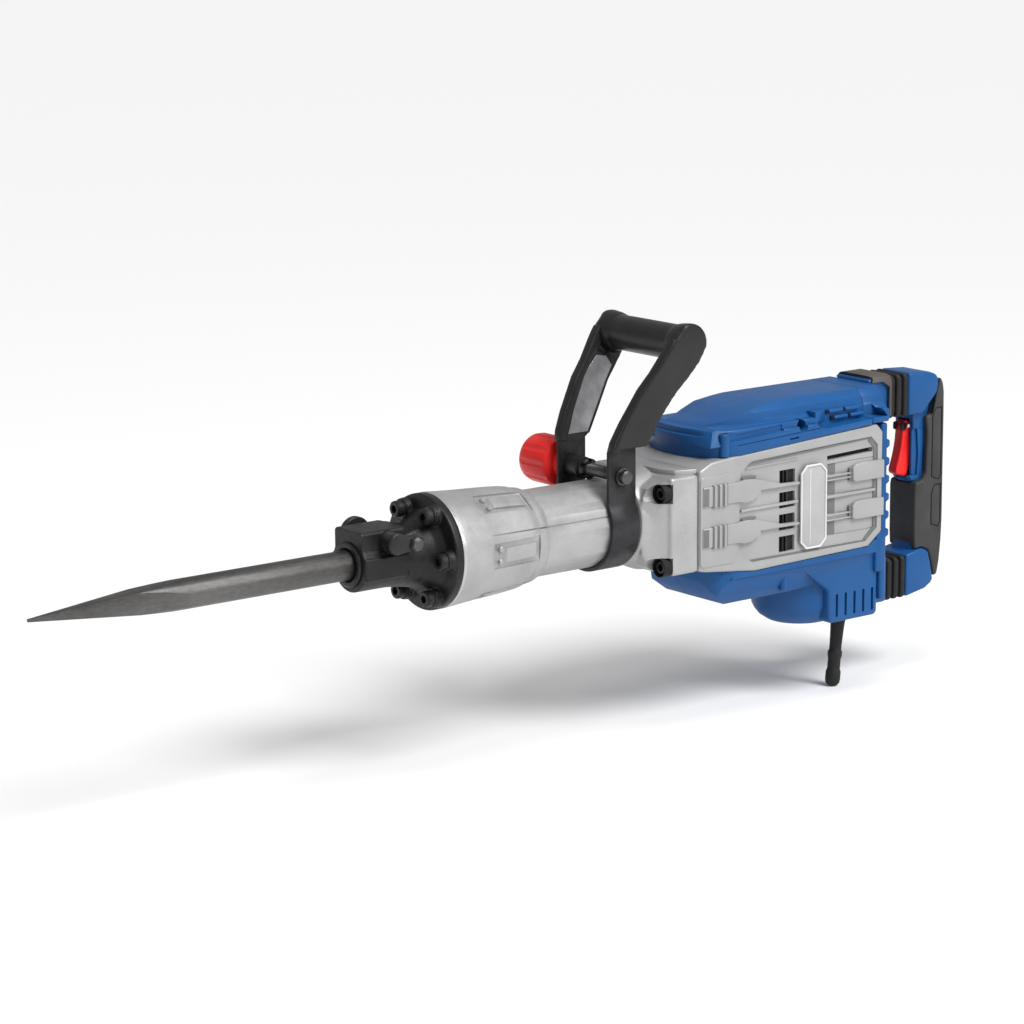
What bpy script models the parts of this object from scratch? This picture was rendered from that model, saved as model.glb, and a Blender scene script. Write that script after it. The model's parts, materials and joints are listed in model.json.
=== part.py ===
"""Electric demolition hammer: bushed nose with a pointed chisel, cast barrel, gear case, motor
housing, covers, a turning side handle and a sprung rear handle with its trigger.

Sizes are in millimetres in the tool frame: X runs along the hammer axis to the rear, with X = 0
at the joint between front cover and barrel, Y across and Z up.  The tool frame's empty puts them
in the part's frame, whose origin is under the motor, on the flat base of the bottom cover.
"""
import math

import bmesh
import bpy
from mathutils import Matrix, Vector

MM = 0.001

# ---- driving dimensions, mm -------------------------------------------------------------------
GAP = 0.3                 # between faces that meet
BASE_Z = -140.0           # flat base under the motor
MOTOR_X = 482.0           # motor axis, vertical

CHISEL_R = 14.5
CHISEL_TIP_X = -440.0
CHISEL_TAPER_X = -280.0
CHISEL_END_X = -18.0
CHISEL_TRAVEL = 22.0

NOSE_X = -94.0
FLANGE_R = 57.0
BOLT_CIRCLE_R = 46.5
BOLT_R = 5.0
HOLE_R = 5.6              # drilled for the bolts
BOLT_HEAD_R = 8.0
SEAT_X = -14.0
RETAINER_X, RETAINER_Z, RETAINER_R = -64.0, 22.0, 10.0

BARREL_END_X = 228.0
NECK_R = 43.5
BORE_R = 32.0
PISTON_R = 27.2

STRAP_X0, STRAP_X1 = 190.0, 225.0
STRAP_IN, STRAP_OUT = 44.0, 48.2
STRAP_WRAP = 31.0         # degrees that the band wraps past the neck's sides
LEG_IN = STRAP_IN * math.cos(math.radians(STRAP_WRAP))
LEG_OUT = STRAP_OUT * math.cos(math.radians(STRAP_WRAP))
CLAMP_X, CLAMP_Z = 207.0, 52.5
KNOB_R, KNOB_LOBES = 25.6, 10
SLEEVE_Z = 80.0
SPLAY = 0.168             # sideways lean of the handle's arms
BAR_X, BAR_Z, BAR_R = 277.0, 179.0, 18.0

CASE_REAR_X = 290.0
HOUSING_REAR_X = 543.0
SIDE_Y = 62.0
HOUSING_BOTTOM, HOUSING_TOP = -54.0, 62.0
CASE_BOLT_Y, CASE_BOLT_Z = 52.0, (31.0, -44.0)
BOWL_R, BASE_R = 50.0, 34.0
SEAM_X = 528.0            # where the rear cover meets the other two

FAST_MODULE, SLOW_MODULE = 1.75, 2.0
ADDENDUM = 0.8            # tooth height above the pitch circle, in modules
MOTOR_TEETH, WHEEL_TEETH = 11, 43
PINION_TEETH, CRANK_TEETH = 12, 48
WHEEL_X = MOTOR_X - FAST_MODULE * (MOTOR_TEETH + WHEEL_TEETH) / 2
CRANK_X = WHEEL_X - SLOW_MODULE * (PINION_TEETH + CRANK_TEETH) / 2
CRANK_THROW = 20.0
PISTON_PIN_X = 210.0
ROD_HALF = 7.0            # half the rod's thickness

STUB_END_X = 588.0
HANDLE_X = 619.0
UPPER_Z, LOWER_Z = (62.0, 108.0), (-136.0, -90.0)
SPRING_Z = (85.0, -113.0)
CORE_X = (634.0, 664.0)
TRIGGER_X, TRIGGER_Z = 630.0, 48.0
GUARD_X, GUARD_Y, GUARD_LEAN = 526.0, -16.0, 6.0

ROOT = None
PARTS = None
CUTTERS = None


# ---- scene and materials ----------------------------------------------------------------------
def clear_scene():
    for old in list(bpy.data.objects):
        bpy.data.objects.remove(old, do_unlink=True)


def new_collection(name):
    made = bpy.data.collections.new(name)
    bpy.context.scene.collection.children.link(made)
    return made


def tool_frame():
    empty = bpy.data.objects.new("tool_frame", None)
    PARTS.objects.link(empty)
    empty.location = (-MOTOR_X * MM, 0, -BASE_Z * MM)
    return empty


def paint(name, colour, roughness, metallic):
    made = bpy.data.materials.new(name)
    made.use_nodes = True
    shader = made.node_tree.nodes["Principled BSDF"]
    shader.inputs["Base Color"].default_value = (*colour, 1)
    shader.inputs["Roughness"].default_value = roughness
    shader.inputs["Metallic"].default_value = metallic
    return made


BLACK_IRON = ((0.03, 0.03, 0.033), 0.45, 0.6)
STEEL = ((0.45, 0.45, 0.46), 0.3, 1.0)
DARK_STEEL = ((0.12, 0.12, 0.13), 0.4, 0.9)
CAST_SILVER = ((0.56, 0.57, 0.58), 0.42, 0.7)
BLUE = ((0.05, 0.17, 0.39), 0.45, 0.0)
RUBBER = ((0.03, 0.03, 0.035), 0.7, 0.0)
GREY_RUBBER = ((0.1, 0.09, 0.09), 0.7, 0.0)
BLACK_PLASTIC = ((0.02, 0.02, 0.022), 0.4, 0.0)
RED = ((0.75, 0.04, 0.04), 0.4, 0.0)
COPPER = ((0.6, 0.28, 0.12), 0.4, 1.0)
PALE_PLASTIC = ((0.6, 0.6, 0.58), 0.5, 0.0)


# ---- modelling helpers; sizes in mm ------------------------------------------------------------
def add_object(name, data, look=None, matrix=None):
    """Link data as a part when it has a look, otherwise as a cutter."""
    piece = bpy.data.objects.new(name, data)
    if look:
        PARTS.objects.link(piece)
        data.materials.append(paint(name, *look))
    else:
        CUTTERS.objects.link(piece)
        piece.hide_render = True
        piece.display_type = "WIRE"
    piece.parent = ROOT
    piece.matrix_local = matrix or Matrix.Identity(4)
    return piece


def set_pivot(piece, x, y, z):
    """Put a piece's origin on the axis that it turns or slides on."""
    point = Vector((x, y, z)) * MM
    piece.data.transform(Matrix.Translation(-point))
    piece.matrix_local = Matrix.Translation(point)


def boolean(piece, tool, operation="DIFFERENCE"):
    mod = piece.modifiers.new(tool.name, "BOOLEAN")
    mod.operation = operation
    mod.solver = "EXACT"
    mod.object = tool
    return piece


def smooth(mesh, degrees=35):
    mesh.shade_smooth()
    mesh.set_sharp_from_angle(angle=math.radians(degrees))


def add_bevel(piece, width, segments=1, degrees=30):
    mod = piece.modifiers.new("edges", "BEVEL")
    mod.width = width * MM
    mod.segments = segments
    mod.limit_method = "ANGLE"
    mod.angle_limit = math.radians(degrees)


def box(name, low, high, look=None, bevel=0.0):
    mesh = bpy.data.meshes.new(name)
    bm = bmesh.new()
    bmesh.ops.create_cube(bm, size=1)
    bm.transform(Matrix.Diagonal((*[(b - a) * MM for a, b in zip(low, high)], 1)))
    bm.transform(Matrix.Translation([(a + b) / 2 * MM for a, b in zip(low, high)]))
    bm.to_mesh(mesh)
    bm.free()
    piece = add_object(name, mesh, look)
    if bevel:
        add_bevel(piece, bevel)
    return piece


AXIS_TURN = {
    "X": Matrix.Rotation(math.pi / 2, 4, "Y"),
    "Y": Matrix.Rotation(-math.pi / 2, 4, "X"),
    "Z": Matrix.Identity(4),
}


def turned(name, axis, centre, profile, look=None, steps=32):
    """Screw a profile of (radius, distance along the axis) round an axis through centre."""
    pairs = list(zip(profile, profile[1:] + profile[:1]))
    area = sum(a[0] * b[1] - b[0] * a[1] for a, b in pairs)
    if area > 0:
        profile = profile[::-1]
    closed = min(r for r, _ in profile) > 0
    edges = [(i, i + 1) for i in range(len(profile) - 1)]
    if closed:
        edges.append((len(profile) - 1, 0))
    elif profile[0][0] > 0:
        raise ValueError(name + ": a solid's profile starts and ends on the axis")
    mesh = bpy.data.meshes.new(name)
    mesh.from_pydata([(r * MM, 0, h * MM) for r, h in profile], edges, [])
    place = Matrix.Translation(Vector(centre) * MM) @ AXIS_TURN[axis]
    piece = add_object(name, mesh, look, place)
    mod = piece.modifiers.new("turn", "SCREW")
    mod.axis = "Z"
    mod.steps = mod.render_steps = steps
    mod.use_merge_vertices = True
    mod.merge_threshold = 0.00002
    mod.use_smooth_shade = True
    return piece


def rod(name, axis, centre, radius, low, high, look=None, steps=16):
    profile = [(0, high), (radius, high), (radius, low), (0, low)]
    return turned(name, axis, centre, profile, look, steps)


def ring(name, axis, centre, inner, outer, low, high, look=None, steps=20):
    profile = [(outer, high), (outer, low), (inner, low), (inner, high)]
    return turned(name, axis, centre, profile, look, steps)


def arc(centre, radius, start, end, count):
    """Points on an arc, angles in degrees."""
    points = []
    for i in range(count + 1):
        angle = math.radians(start + (end - start) * i / count)
        points.append((centre[0] + radius * math.cos(angle), centre[1] + radius * math.sin(angle)))
    return points


def rounded(corners, radius, count=3):
    """The outline with each corner cut back by radius and rounded."""
    points = []
    for i, corner in enumerate(corners):
        here = Vector(corner)
        before = Vector(corners[i - 1]) - here
        after = Vector(corners[(i + 1) % len(corners)]) - here
        reach = min(radius, before.length / 2.1, after.length / 2.1)
        start = here + before.normalized() * reach
        end = here + after.normalized() * reach
        for k in range(count + 1):
            t = k / count
            points.append(tuple(start * (1 - t) ** 2 + here * 2 * t * (1 - t) + end * t ** 2))
    return points


PLANE_TURN = {
    "XY": Matrix.Identity(4),
    "XZ": Matrix.Rotation(math.pi / 2, 4, "X"),
    "YZ": Matrix.Rotation(math.pi / 2, 4, "Z") @ Matrix.Rotation(math.pi / 2, 4, "X"),
}
PLANE_NORMAL = {"XY": Vector((0, 0, 1)), "XZ": Vector((0, 1, 0)), "YZ": Vector((1, 0, 0))}


def prism(name, plane, outline, low, high, look=None, bevel=0.0):
    """A flat outline in a plane, extruded from low to high along the plane's normal."""
    curve = bpy.data.curves.new(name, "CURVE")
    curve.dimensions = "2D"
    curve.fill_mode = "BOTH"
    curve.extrude = (high - low) / 2 * MM
    spline = curve.splines.new("POLY")
    spline.points.add(len(outline) - 1)
    for point, (a, b) in zip(spline.points, outline):
        point.co = (a * MM, b * MM, 0, 1)
    spline.use_cyclic_u = True
    shift = PLANE_NORMAL[plane] * (low + high) / 2 * MM
    return curve_to_mesh(name, curve, Matrix.Translation(shift) @ PLANE_TURN[plane], look, bevel)


def curve_to_mesh(name, curve, place, look=None, bevel=0.0):
    guide = bpy.data.objects.new(name + "_outline", curve)
    bpy.context.scene.collection.objects.link(guide)
    graph = bpy.context.evaluated_depsgraph_get()
    mesh = bpy.data.meshes.new_from_object(guide.evaluated_get(graph))
    bpy.data.objects.remove(guide)
    mesh.materials.clear()
    bm = bmesh.new()
    bm.from_mesh(mesh)
    bmesh.ops.remove_doubles(bm, verts=bm.verts, dist=0.00001)
    bmesh.ops.recalc_face_normals(bm, faces=bm.faces)
    bm.transform(place)
    bm.to_mesh(mesh)
    bm.free()
    mesh.name = name
    piece = add_object(name, mesh, look)
    if bevel:
        add_bevel(piece, bevel)
    return piece


def lean_outwards(piece):
    """Splay a handle part away from the tool above the sleeves' lower end."""
    for vertex in piece.data.vertices:
        above = max(0.0, vertex.co.z - SLEEVE_Z * MM)
        vertex.co.y += math.copysign(SPLAY * above, vertex.co.y)


def gear(name, centre, teeth, module, low, high, turn, look=None):
    """A spur gear with straight flanks; turn is the angle of one tooth's middle, in degrees."""
    pitch_r = teeth * module / 2
    tip_r, root_r = pitch_r + ADDENDUM * module, pitch_r - 1.15 * module
    half = math.pi * module / 4 * 0.80
    flank = math.tan(math.radians(20))
    tip_half = half - ADDENDUM * module * flank
    root_half = half + 1.15 * module * flank
    outline = []
    for i in range(teeth):
        middle = math.radians(turn) + 2 * math.pi * i / teeth
        for radius, width in ((root_r, -root_half), (tip_r, -tip_half),
                              (tip_r, tip_half), (root_r, root_half)):
            angle = middle + width / radius
            outline.append((radius * math.cos(angle), radius * math.sin(angle)))
    piece = prism(name, "XY", outline, low, high, look)
    piece.data.transform(Matrix.Translation(Vector((centre, 0, 0)) * MM))
    return piece


def socket_screw(name, x, y, z, shank_end):
    """A socket-cap screw along X whose head stands forward of its seat at x."""
    head = [(0, -5), (4.4, -5), (4.4, -10), (7.2, -10), (BOLT_HEAD_R, -9), (BOLT_HEAD_R, 0),
            (BOLT_R, 0), (BOLT_R, shank_end - x), (0, shank_end - x)]
    return turned(name, "X", (x, y, z), head, DARK_STEEL, 12)


# ---- nose and chisel ---------------------------------------------------------------------------
def bolt_places():
    return [(BOLT_CIRCLE_R * math.cos(math.radians(60 * i)),
             BOLT_CIRCLE_R * math.sin(math.radians(60 * i))) for i in range(6)]


def front_cover():
    outside = [(FLANGE_R, -GAP), (FLANGE_R, -8), (41, -9.5), (35, -18), (31, -32), (28.5, -48),
               (27, -60), (27, NOSE_X), (18, NOSE_X), (18, -34), (24, -34), (24, -GAP)]
    cover = turned("front_cover", "X", (0, 0, 0), outside, BLACK_IRON, 32)
    block = box("nose_block", (NOSE_X, -22, 8), (-46, 22, 33.5), bevel=2)
    boolean(cover, block, "UNION")
    for i, (y, z) in enumerate(bolt_places()):
        boss = rod(f"boss_{i + 1}", "X", (0, y, z), 9.5, SEAT_X, -3.5, steps=12)
        boolean(cover, boss, "UNION")
    boolean(cover, rod("cover_bore", "X", (0, 0, 0), 22.2, NOSE_X - 5, -30, steps=32))
    for i, (y, z) in enumerate(bolt_places()):
        boolean(cover, rod(f"cover_hole_{i + 1}", "X", (0, y, z), HOLE_R, -30, 5, steps=10))
    boolean(cover, rod("pin_bore", "Y", (RETAINER_X, 0, RETAINER_Z), RETAINER_R + 0.4, -40, 40))


def nose_bush():
    bush = ring("nose_bush", "X", (0, 0, 0), 15.0, 21.8, NOSE_X - 3, -36, STEEL, 24)
    boolean(bush, rod("bush_pin_bore", "Y", (RETAINER_X, 0, RETAINER_Z), RETAINER_R + 0.4, -40, 40))


def chisel():
    bar = rod("chisel", "X", (0, 0, 0), CHISEL_R, CHISEL_TIP_X, CHISEL_END_X, STEEL, 24)
    wide = CHISEL_R + 1.3
    point = [(CHISEL_TIP_X - 5, -0.7), (CHISEL_TAPER_X, -wide), (CHISEL_END_X + 5, -wide - 2),
             (CHISEL_END_X + 5, wide + 2), (CHISEL_TAPER_X, wide), (CHISEL_TIP_X - 5, 0.7)]
    boolean(bar, prism("point_sides", "XY", point, -20, 20), "INTERSECT")
    boolean(bar, prism("point_top", "XZ", point, -20, 20), "INTERSECT")
    half_chord = 7.2
    notch = box("chisel_notch", (RETAINER_X - half_chord, -20, 11.4),
                (RETAINER_X + half_chord + CHISEL_TRAVEL, 20, 20))
    boolean(bar, notch)


def retainer():
    """The cross pin with its flat, and the thumb lever outside the nose block."""
    pin = rod("retainer", "Y", (RETAINER_X, 0, RETAINER_Z), RETAINER_R, -36, 31, STEEL)
    hub = arc((RETAINER_X, RETAINER_Z), 12.5, 70, 290, 8)
    thumb = arc((-43, 19.5), 8.5, -80, 80, 6)
    lever = prism("retainer_lever", "XZ", hub + thumb, -44, -31)
    boolean(pin, lever, "UNION")
    head = rod("retainer_head", "Y", (RETAINER_X, 0, RETAINER_Z), 15.5, 28, 38, steps=24)
    boolean(pin, head, "UNION")
    boolean(pin, box("retainer_flat", (-90, -16, RETAINER_Z + 6.4), (-40, 16, 45)))


def cover_bolts():
    for i, (y, z) in enumerate(bolt_places()):
        socket_screw(f"cover_bolt_{i + 1}", SEAT_X - GAP, y, z, 14)


# ---- striking train ----------------------------------------------------------------------------
def barrel():
    profile = [(NECK_R, BARREL_END_X), (NECK_R, 113), (47, 111.5), (47, 101), (50, 97), (53, 67),
               (FLANGE_R, 5), (FLANGE_R, 0), (24, 0), (24, 52), (BORE_R, 52), (BORE_R, BARREL_END_X)]
    body = turned("barrel", "X", (0, 0, 0), profile, CAST_SILVER, 32)
    for i, (y, z) in enumerate(bolt_places()):
        boolean(body, rod(f"barrel_hole_{i + 1}", "X", (0, y, z), HOLE_R, -5, 16, steps=8))


def striking_train():
    ring("cylinder_liner", "X", (0, 0, 0), PISTON_R + 0.5, BORE_R - 0.4, 64, 240, STEEL, 24)
    ring("damper_ring", "X", (0, 0, 0), 16, BORE_R - 0.6, 52.5, 63.5, RUBBER, 24)
    bolt = [(0, -10), (12, -10), (13, -9), (13, 14), (22, 16), (22, 44), (15, 46), (15, 65),
            (14, 66), (0, 66)]
    turned("impact_bolt", "X", (0, 0, 0), bolt, STEEL, 20)
    ram = [(0, 92), (15, 92), (16, 93), (16, 112), (PISTON_R, 113), (PISTON_R, 160), (0, 160)]
    turned("striker", "X", (0, 0, 0), ram, STEEL, 24)


def piston_and_rod():
    front, back = PISTON_PIN_X - 27, PISTON_PIN_X + 13
    shape = [(0, front), (PISTON_R, front), (PISTON_R, back), (22, back),
             (22, PISTON_PIN_X - 15), (0, PISTON_PIN_X - 15)]
    piston = turned("piston", "X", (0, 0, 0), shape, STEEL, 24)
    boolean(piston, rod("gudgeon_bore", "Z", (PISTON_PIN_X, 0, 0), 6.35, -40, 40, steps=16))
    rod("piston_pin", "Z", (PISTON_PIN_X, 0, 0), 6, -24, 24, STEEL, 16)
    crank_pin_x = CRANK_X - CRANK_THROW
    waist = math.degrees(math.asin(6 / 11))
    outline = arc((PISTON_PIN_X, 0), 11, waist, 360 - waist, 14)
    outline += arc((crank_pin_x, 0), 14, -155, 155, 14)
    link = prism("connecting_rod", "XY", outline, -ROD_HALF, ROD_HALF, DARK_STEEL)
    set_pivot(link, PISTON_PIN_X, 0, 0)
    boolean(link, rod("small_end", "Z", (PISTON_PIN_X, 0, 0), 6.35, -20, 20, steps=16))
    boolean(link, rod("big_end", "Z", (crank_pin_x, 0, 0), 8.4, -20, 20, steps=16))


def crank():
    web = [(0, 72), (9.5, 72), (10, 71), (10, 22), (30, 22), (30, 12), (0, 12)]
    shaft = turned("crank_shaft", "Z", (CRANK_X, 0, 0), web, DARK_STEEL, 24)
    stub = rod("crank_pin", "Z", (CRANK_X - CRANK_THROW, 0, 0), 7.5, ROD_HALF + 1, 14, steps=16)
    boolean(shaft, stub, "UNION")
    ring("crank_bearing", "Z", (CRANK_X, 0, 0), 10.4, 22, 30, 44, STEEL)
    wheel = gear("crank_gear", CRANK_X, CRANK_TEETH, SLOW_MODULE, 52, 62, 180 / CRANK_TEETH,
                 DARK_STEEL)
    set_pivot(wheel, CRANK_X, 0, 0)
    boolean(wheel, rod("crank_gear_bore", "Z", (CRANK_X, 0, 0), 10.4, 40, 80))


def intermediate_gear():
    wheel = gear("intermediate_gear", WHEEL_X, WHEEL_TEETH, FAST_MODULE, 70, 80,
                 180 / WHEEL_TEETH, DARK_STEEL)
    set_pivot(wheel, WHEEL_X, 0, 0)
    pinion = gear("slow_pinion", WHEEL_X, PINION_TEETH, SLOW_MODULE, 50, 70.5, 0)
    boolean(wheel, pinion, "UNION")
    boolean(wheel, rod("wheel_shaft", "Z", (WHEEL_X, 0, 0), 7, 34, 80.5, steps=20), "UNION")


# ---- motor -------------------------------------------------------------------------------------
def armature():
    axis = (MOTOR_X, 0, 0)
    spindle = rod("armature_shaft", "Z", axis, 7, -132, 67, STEEL, 20)
    pinion = gear("motor_pinion", MOTOR_X, MOTOR_TEETH, FAST_MODULE, 66, 84, 180)
    boolean(spindle, pinion, "UNION")
    ring("armature_core", "Z", axis, 7.4, 26, -53, 10, DARK_STEEL, 24)
    ring("commutator", "Z", axis, 7.4, 17, 14, 34, COPPER, 24)
    hub = [(43, -101), (43, -104), (7.4, -104), (7.4, -86), (12, -86), (14, -101)]
    fan = turned("fan", "Z", axis, hub, BLACK_PLASTIC, 24)
    for i in range(9):
        blade = box(f"blade_{i + 1}", (13, -1, -102), (41, 1, -88))
        blade.matrix_local = (Matrix.Translation(Vector(axis) * MM)
                              @ Matrix.Rotation(2 * math.pi * i / 9, 4, "Z"))
        boolean(fan, blade, "UNION")


def motor_fixed_parts():
    axis = (MOTOR_X, 0, 0)
    ring("stator", "Z", axis, 27.5, 45, -53.6, 12, DARK_STEEL, 24)
    ring("upper_bearing", "Z", axis, 7.4, 18, 46, 58, STEEL)
    ring("lower_bearing", "Z", axis, 7.4, 15, -130, -118, STEEL)
    for side, name in ((-1, "left"), (1, "right")):
        ends = sorted((side * 20, side * 42))
        holder = box(f"brush_holder_{name}", (MOTOR_X - 8, ends[0], 16),
                     (MOTOR_X + 8, ends[1], 32), COPPER)
        slot = sorted((side * 10, side * 50))
        boolean(holder, box(f"brush_slot_{name}", (MOTOR_X - 5, slot[0], 19),
                            (MOTOR_X + 5, slot[1], 29)))
        ends = sorted((side * 17.6, side * 38))
        box(f"brush_{name}", (MOTOR_X - 4.6, ends[0], 19.4), (MOTOR_X + 4.6, ends[1], 28.6), RUBBER)


# ---- gear case and housing ---------------------------------------------------------------------
def case_bolt_places():
    return [(side * CASE_BOLT_Y, z) for side in (-1, 1) for z in CASE_BOLT_Z]


def gear_case():
    """The cone from the barrel's neck to the square flange."""
    case = box("gear_case", (252, -SIDE_Y, HOUSING_BOTTOM + 1), (CASE_REAR_X - GAP, SIDE_Y, 47),
               CAST_SILVER, bevel=3)
    boolean(case, neck_cone(), "UNION")
    boolean(case, rod("case_passage", "X", (0, 0, 0), 33, 220, 300, steps=24))
    boolean(case, box("case_chamber", (258, -38, -14), (295, 38, 25)))
    for i, (y, z) in enumerate(case_bolt_places()):
        boolean(case, rod(f"case_pocket_{i + 1}", "X", (0, y, z), 9.5, 215, 252.5, steps=12))
        boolean(case, rod(f"case_hole_{i + 1}", "X", (0, y, z), HOLE_R, 240, 300, steps=8))
        socket_screw(f"case_bolt_{i + 1}", 252.2, y, z, 304)


def neck_cone():
    """Convex skin over the neck's circle and a rounded rectangle on the flange."""
    mesh = bpy.data.meshes.new("neck_cone")
    bm = bmesh.new()
    for y, z in arc((0, 0), 46.5, 0, 348.75, 31):
        bm.verts.new(Vector((BARREL_END_X + GAP, y, z)) * MM)
    for y, z in rounded([(-54, -46), (54, -46), (54, 44), (-54, 44)], 14, 4):
        bm.verts.new(Vector((255, y, z)) * MM)
    bmesh.ops.convex_hull(bm, input=bm.verts)
    bm.to_mesh(mesh)
    bm.free()
    return add_object("neck_cone", mesh)


def motor_housing():
    case = box("motor_housing", (CASE_REAR_X, -SIDE_Y, HOUSING_BOTTOM),
               (HOUSING_REAR_X, SIDE_Y, HOUSING_TOP), CAST_SILVER, bevel=2)
    boolean(case, box("rod_chamber", (280, -38, -14), (413, 38, 25)))
    boolean(case, box("front_relief", (280, -56, -49), (388, 56, -19)))
    for start, end in ((418, MOTOR_X - 20), (MOTOR_X + 20, 538)):
        boolean(case, box(f"relief_{start:.0f}", (start, -57, -60), (end, 57, 26)))
    for side in (-1, 1):
        low, high = sorted((side * 42, side * 57))
        boolean(case, box(f"side_relief_{side}", (305, low, -12), (386, high, 44)))
    bore = [(0, -60), (46.7, -60), (46.7, 42), (18.4, 42), (18.4, 59), (11, 59), (11, 70), (0, 70)]
    boolean(case, turned("motor_bore", "Z", (MOTOR_X, 0, 0), bore, steps=24))
    well = [(0, 20), (22.4, 20), (22.4, 50), (53, 50), (53, 70), (0, 70)]
    boolean(case, turned("crank_well", "Z", (CRANK_X, 0, 0), well, steps=28))
    nest = [(0, 33), (7.4, 33), (7.4, 48), (17, 48), (17, 70), (0, 70)]
    boolean(case, turned("wheel_nest", "Z", (WHEEL_X, 0, 0), nest, steps=16))
    for i, (y, z) in enumerate(case_bolt_places()):
        boolean(case, rod(f"thread_{i + 1}", "X", (0, y, z), HOLE_R, 280, 306, steps=8))


def side_labels():
    for side, name in ((-1, "left"), (1, "right")):
        outline = [(426, 34), (432, 40), (456, 40), (462, 34), (462, -44), (456, -50),
                   (432, -50), (426, -44)]
        ends = sorted((side * (SIDE_Y + GAP), side * (SIDE_Y + 2.3)))
        prism(f"label_plate_{name}", "XZ", outline, *ends, PALE_PLASTIC)


def crown_outline(shoulder):
    """The top cover's raised section across Y and Z, on a shoulder of the given height."""
    half = [(57, shoulder), (50, 86), (45, 88), (43, 96.5), (36, 104)]
    return half + [(-y, z) for y, z in half[::-1]]


def rim_plan(inset=0.0):
    """Half-length plan of both covers: rounded front corners, square at the rear seam."""
    side = SIDE_Y - inset
    front = [(336, side), (322, side - 7), (312, side - 22), (306 + inset, side - 45)]
    return ([(SEAM_X - inset, side)] + [(x + inset, y) for x, y in front]
            + [(x + inset, -y) for x, y in front[::-1]] + [(SEAM_X - inset, -side)])


def top_cover():
    low = HOUSING_TOP + GAP
    cover = prism("top_cover", "XY", rim_plan(), low, 84, BLUE, bevel=2)
    crown = prism("top_crown", "YZ", crown_outline(80), 300, SEAM_X)
    slope = [(280, 120), (280, 70), (312, 70), (319, 88), (338, 89), (352, 92.5), (372, 98),
             (392, 101.8), (416, 104.2), (416, 120)]
    boolean(crown, prism("crown_slope", "XZ", slope, -70, 70))
    boolean(cover, crown, "UNION")
    boolean(cover, prism("cover_hollow", "XY", rim_plan(4), low - 5, 82))
    hollow = [(-39, 78), (39, 78), (38, 94), (33, 100), (-33, 100), (-38, 94)]
    boolean(cover, prism("crown_hollow", "YZ", hollow, 385, SEAM_X - 4))


def bottom_cover():
    mesh = bpy.data.meshes.new("bottom_cover")
    bm = bmesh.new()
    top = [(306, 20), (314, 45), (326, 58), (SEAM_X, 60)]
    middle = [(308, 16), (314, 38)]
    bottom = [(322, 30), (331, 54), (SEAM_X, 57)]
    for outline, z in ((top, HOUSING_BOTTOM - GAP), (middle, -63), (bottom, -97)):
        for x, y in outline:
            bm.verts.new(Vector((x, y, z)) * MM)
            bm.verts.new(Vector((x, -y, z)) * MM)
    bmesh.ops.convex_hull(bm, input=bm.verts)
    bm.to_mesh(mesh)
    bm.free()
    cover = add_object("bottom_cover", mesh, BLUE)
    bowl = [(0, -93), (BOWL_R, -93), (BOWL_R, -121), (BOWL_R - 3, -129), (BOWL_R - 9, -136),
            (BASE_R, BASE_Z), (0, BASE_Z)]
    boolean(cover, turned("bowl", "Z", (MOTOR_X, 0, 0), bowl, steps=32), "UNION")
    boolean(cover, box("cord_block", (472, -56, -137), (542.6, 56, -92), bevel=3), "UNION")
    boolean(cover, box("tray_hollow", (334, -53, -92), (SEAM_X - 4, 53, -45)))
    hollow = [(0, -88), (BOWL_R - 4, -88), (BOWL_R - 4, -120), (BOWL_R - 12, -132), (BASE_R - 4, -136),
              (0, -136)]
    boolean(cover, turned("bowl_hollow", "Z", (MOTOR_X, 0, 0), hollow, steps=24))
    boolean(cover, box("block_hollow", (478, -50, -132), (SEAM_X - 4, 50, -88)))
    boolean(cover, box("outlet_hollow", (520, -50, -132), (538, 50, -99)))
    boss = ring("bearing_seat", "Z", (MOTOR_X, 0, 0), 15.4, 20, -138, -119)
    boolean(cover, boss, "UNION")


def rear_cover():
    """Rear wall with the two stubs that the sprung handle slides on."""
    front = HOUSING_REAR_X + GAP
    seam = SEAM_X + GAP
    cover = box("rear_cover", (front, -60, -121), (552, 60, 70), BLUE, bevel=3)
    crown = prism("rear_crown", "YZ", crown_outline(HOUSING_TOP + GAP), seam, 556)
    boolean(cover, crown, "UNION")
    boolean(cover, box("rear_skirt", (seam, -60, -91.5), (548, 60, HOUSING_BOTTOM - GAP)),
            "UNION")
    (upper_low, upper_high), (lower_low, lower_high) = UPPER_Z, LOWER_Z
    upper = box("upper_stub", (546, -25, upper_low), (STUB_END_X, 25, upper_high), bevel=4)
    boolean(cover, upper, "UNION")
    lower = box("lower_stub", (546, -25, lower_low), (STUB_END_X, 25, lower_high + 6), bevel=4)
    boolean(cover, lower, "UNION")
    boolean(cover, box("upper_hollow", (556, -20, upper_low + 5), (600, 20, upper_high - 5)))
    boolean(cover, box("lower_hollow", (556, -20, lower_low + 5), (600, 20, lower_high)))
    for height, name in zip(SPRING_Z, ("upper", "lower")):
        boolean(cover, rod(f"{name}_post", "X", (0, 0, height), 5, 548, 596, steps=12), "UNION")


def trim_band():
    """Rubber saddle over the upper stub."""
    top, bottom = UPPER_Z[1], 98
    outer = rounded([(-28, bottom), (28, bottom), (28, top + 3), (-28, top + 3)], 5, 2)
    band = prism("trim_band", "YZ", outer, 559, 587, GREY_RUBBER)
    boolean(band, box("band_hollow", (550, -25.4, 60), (600, 25.4, top + 0.4)))


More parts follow.
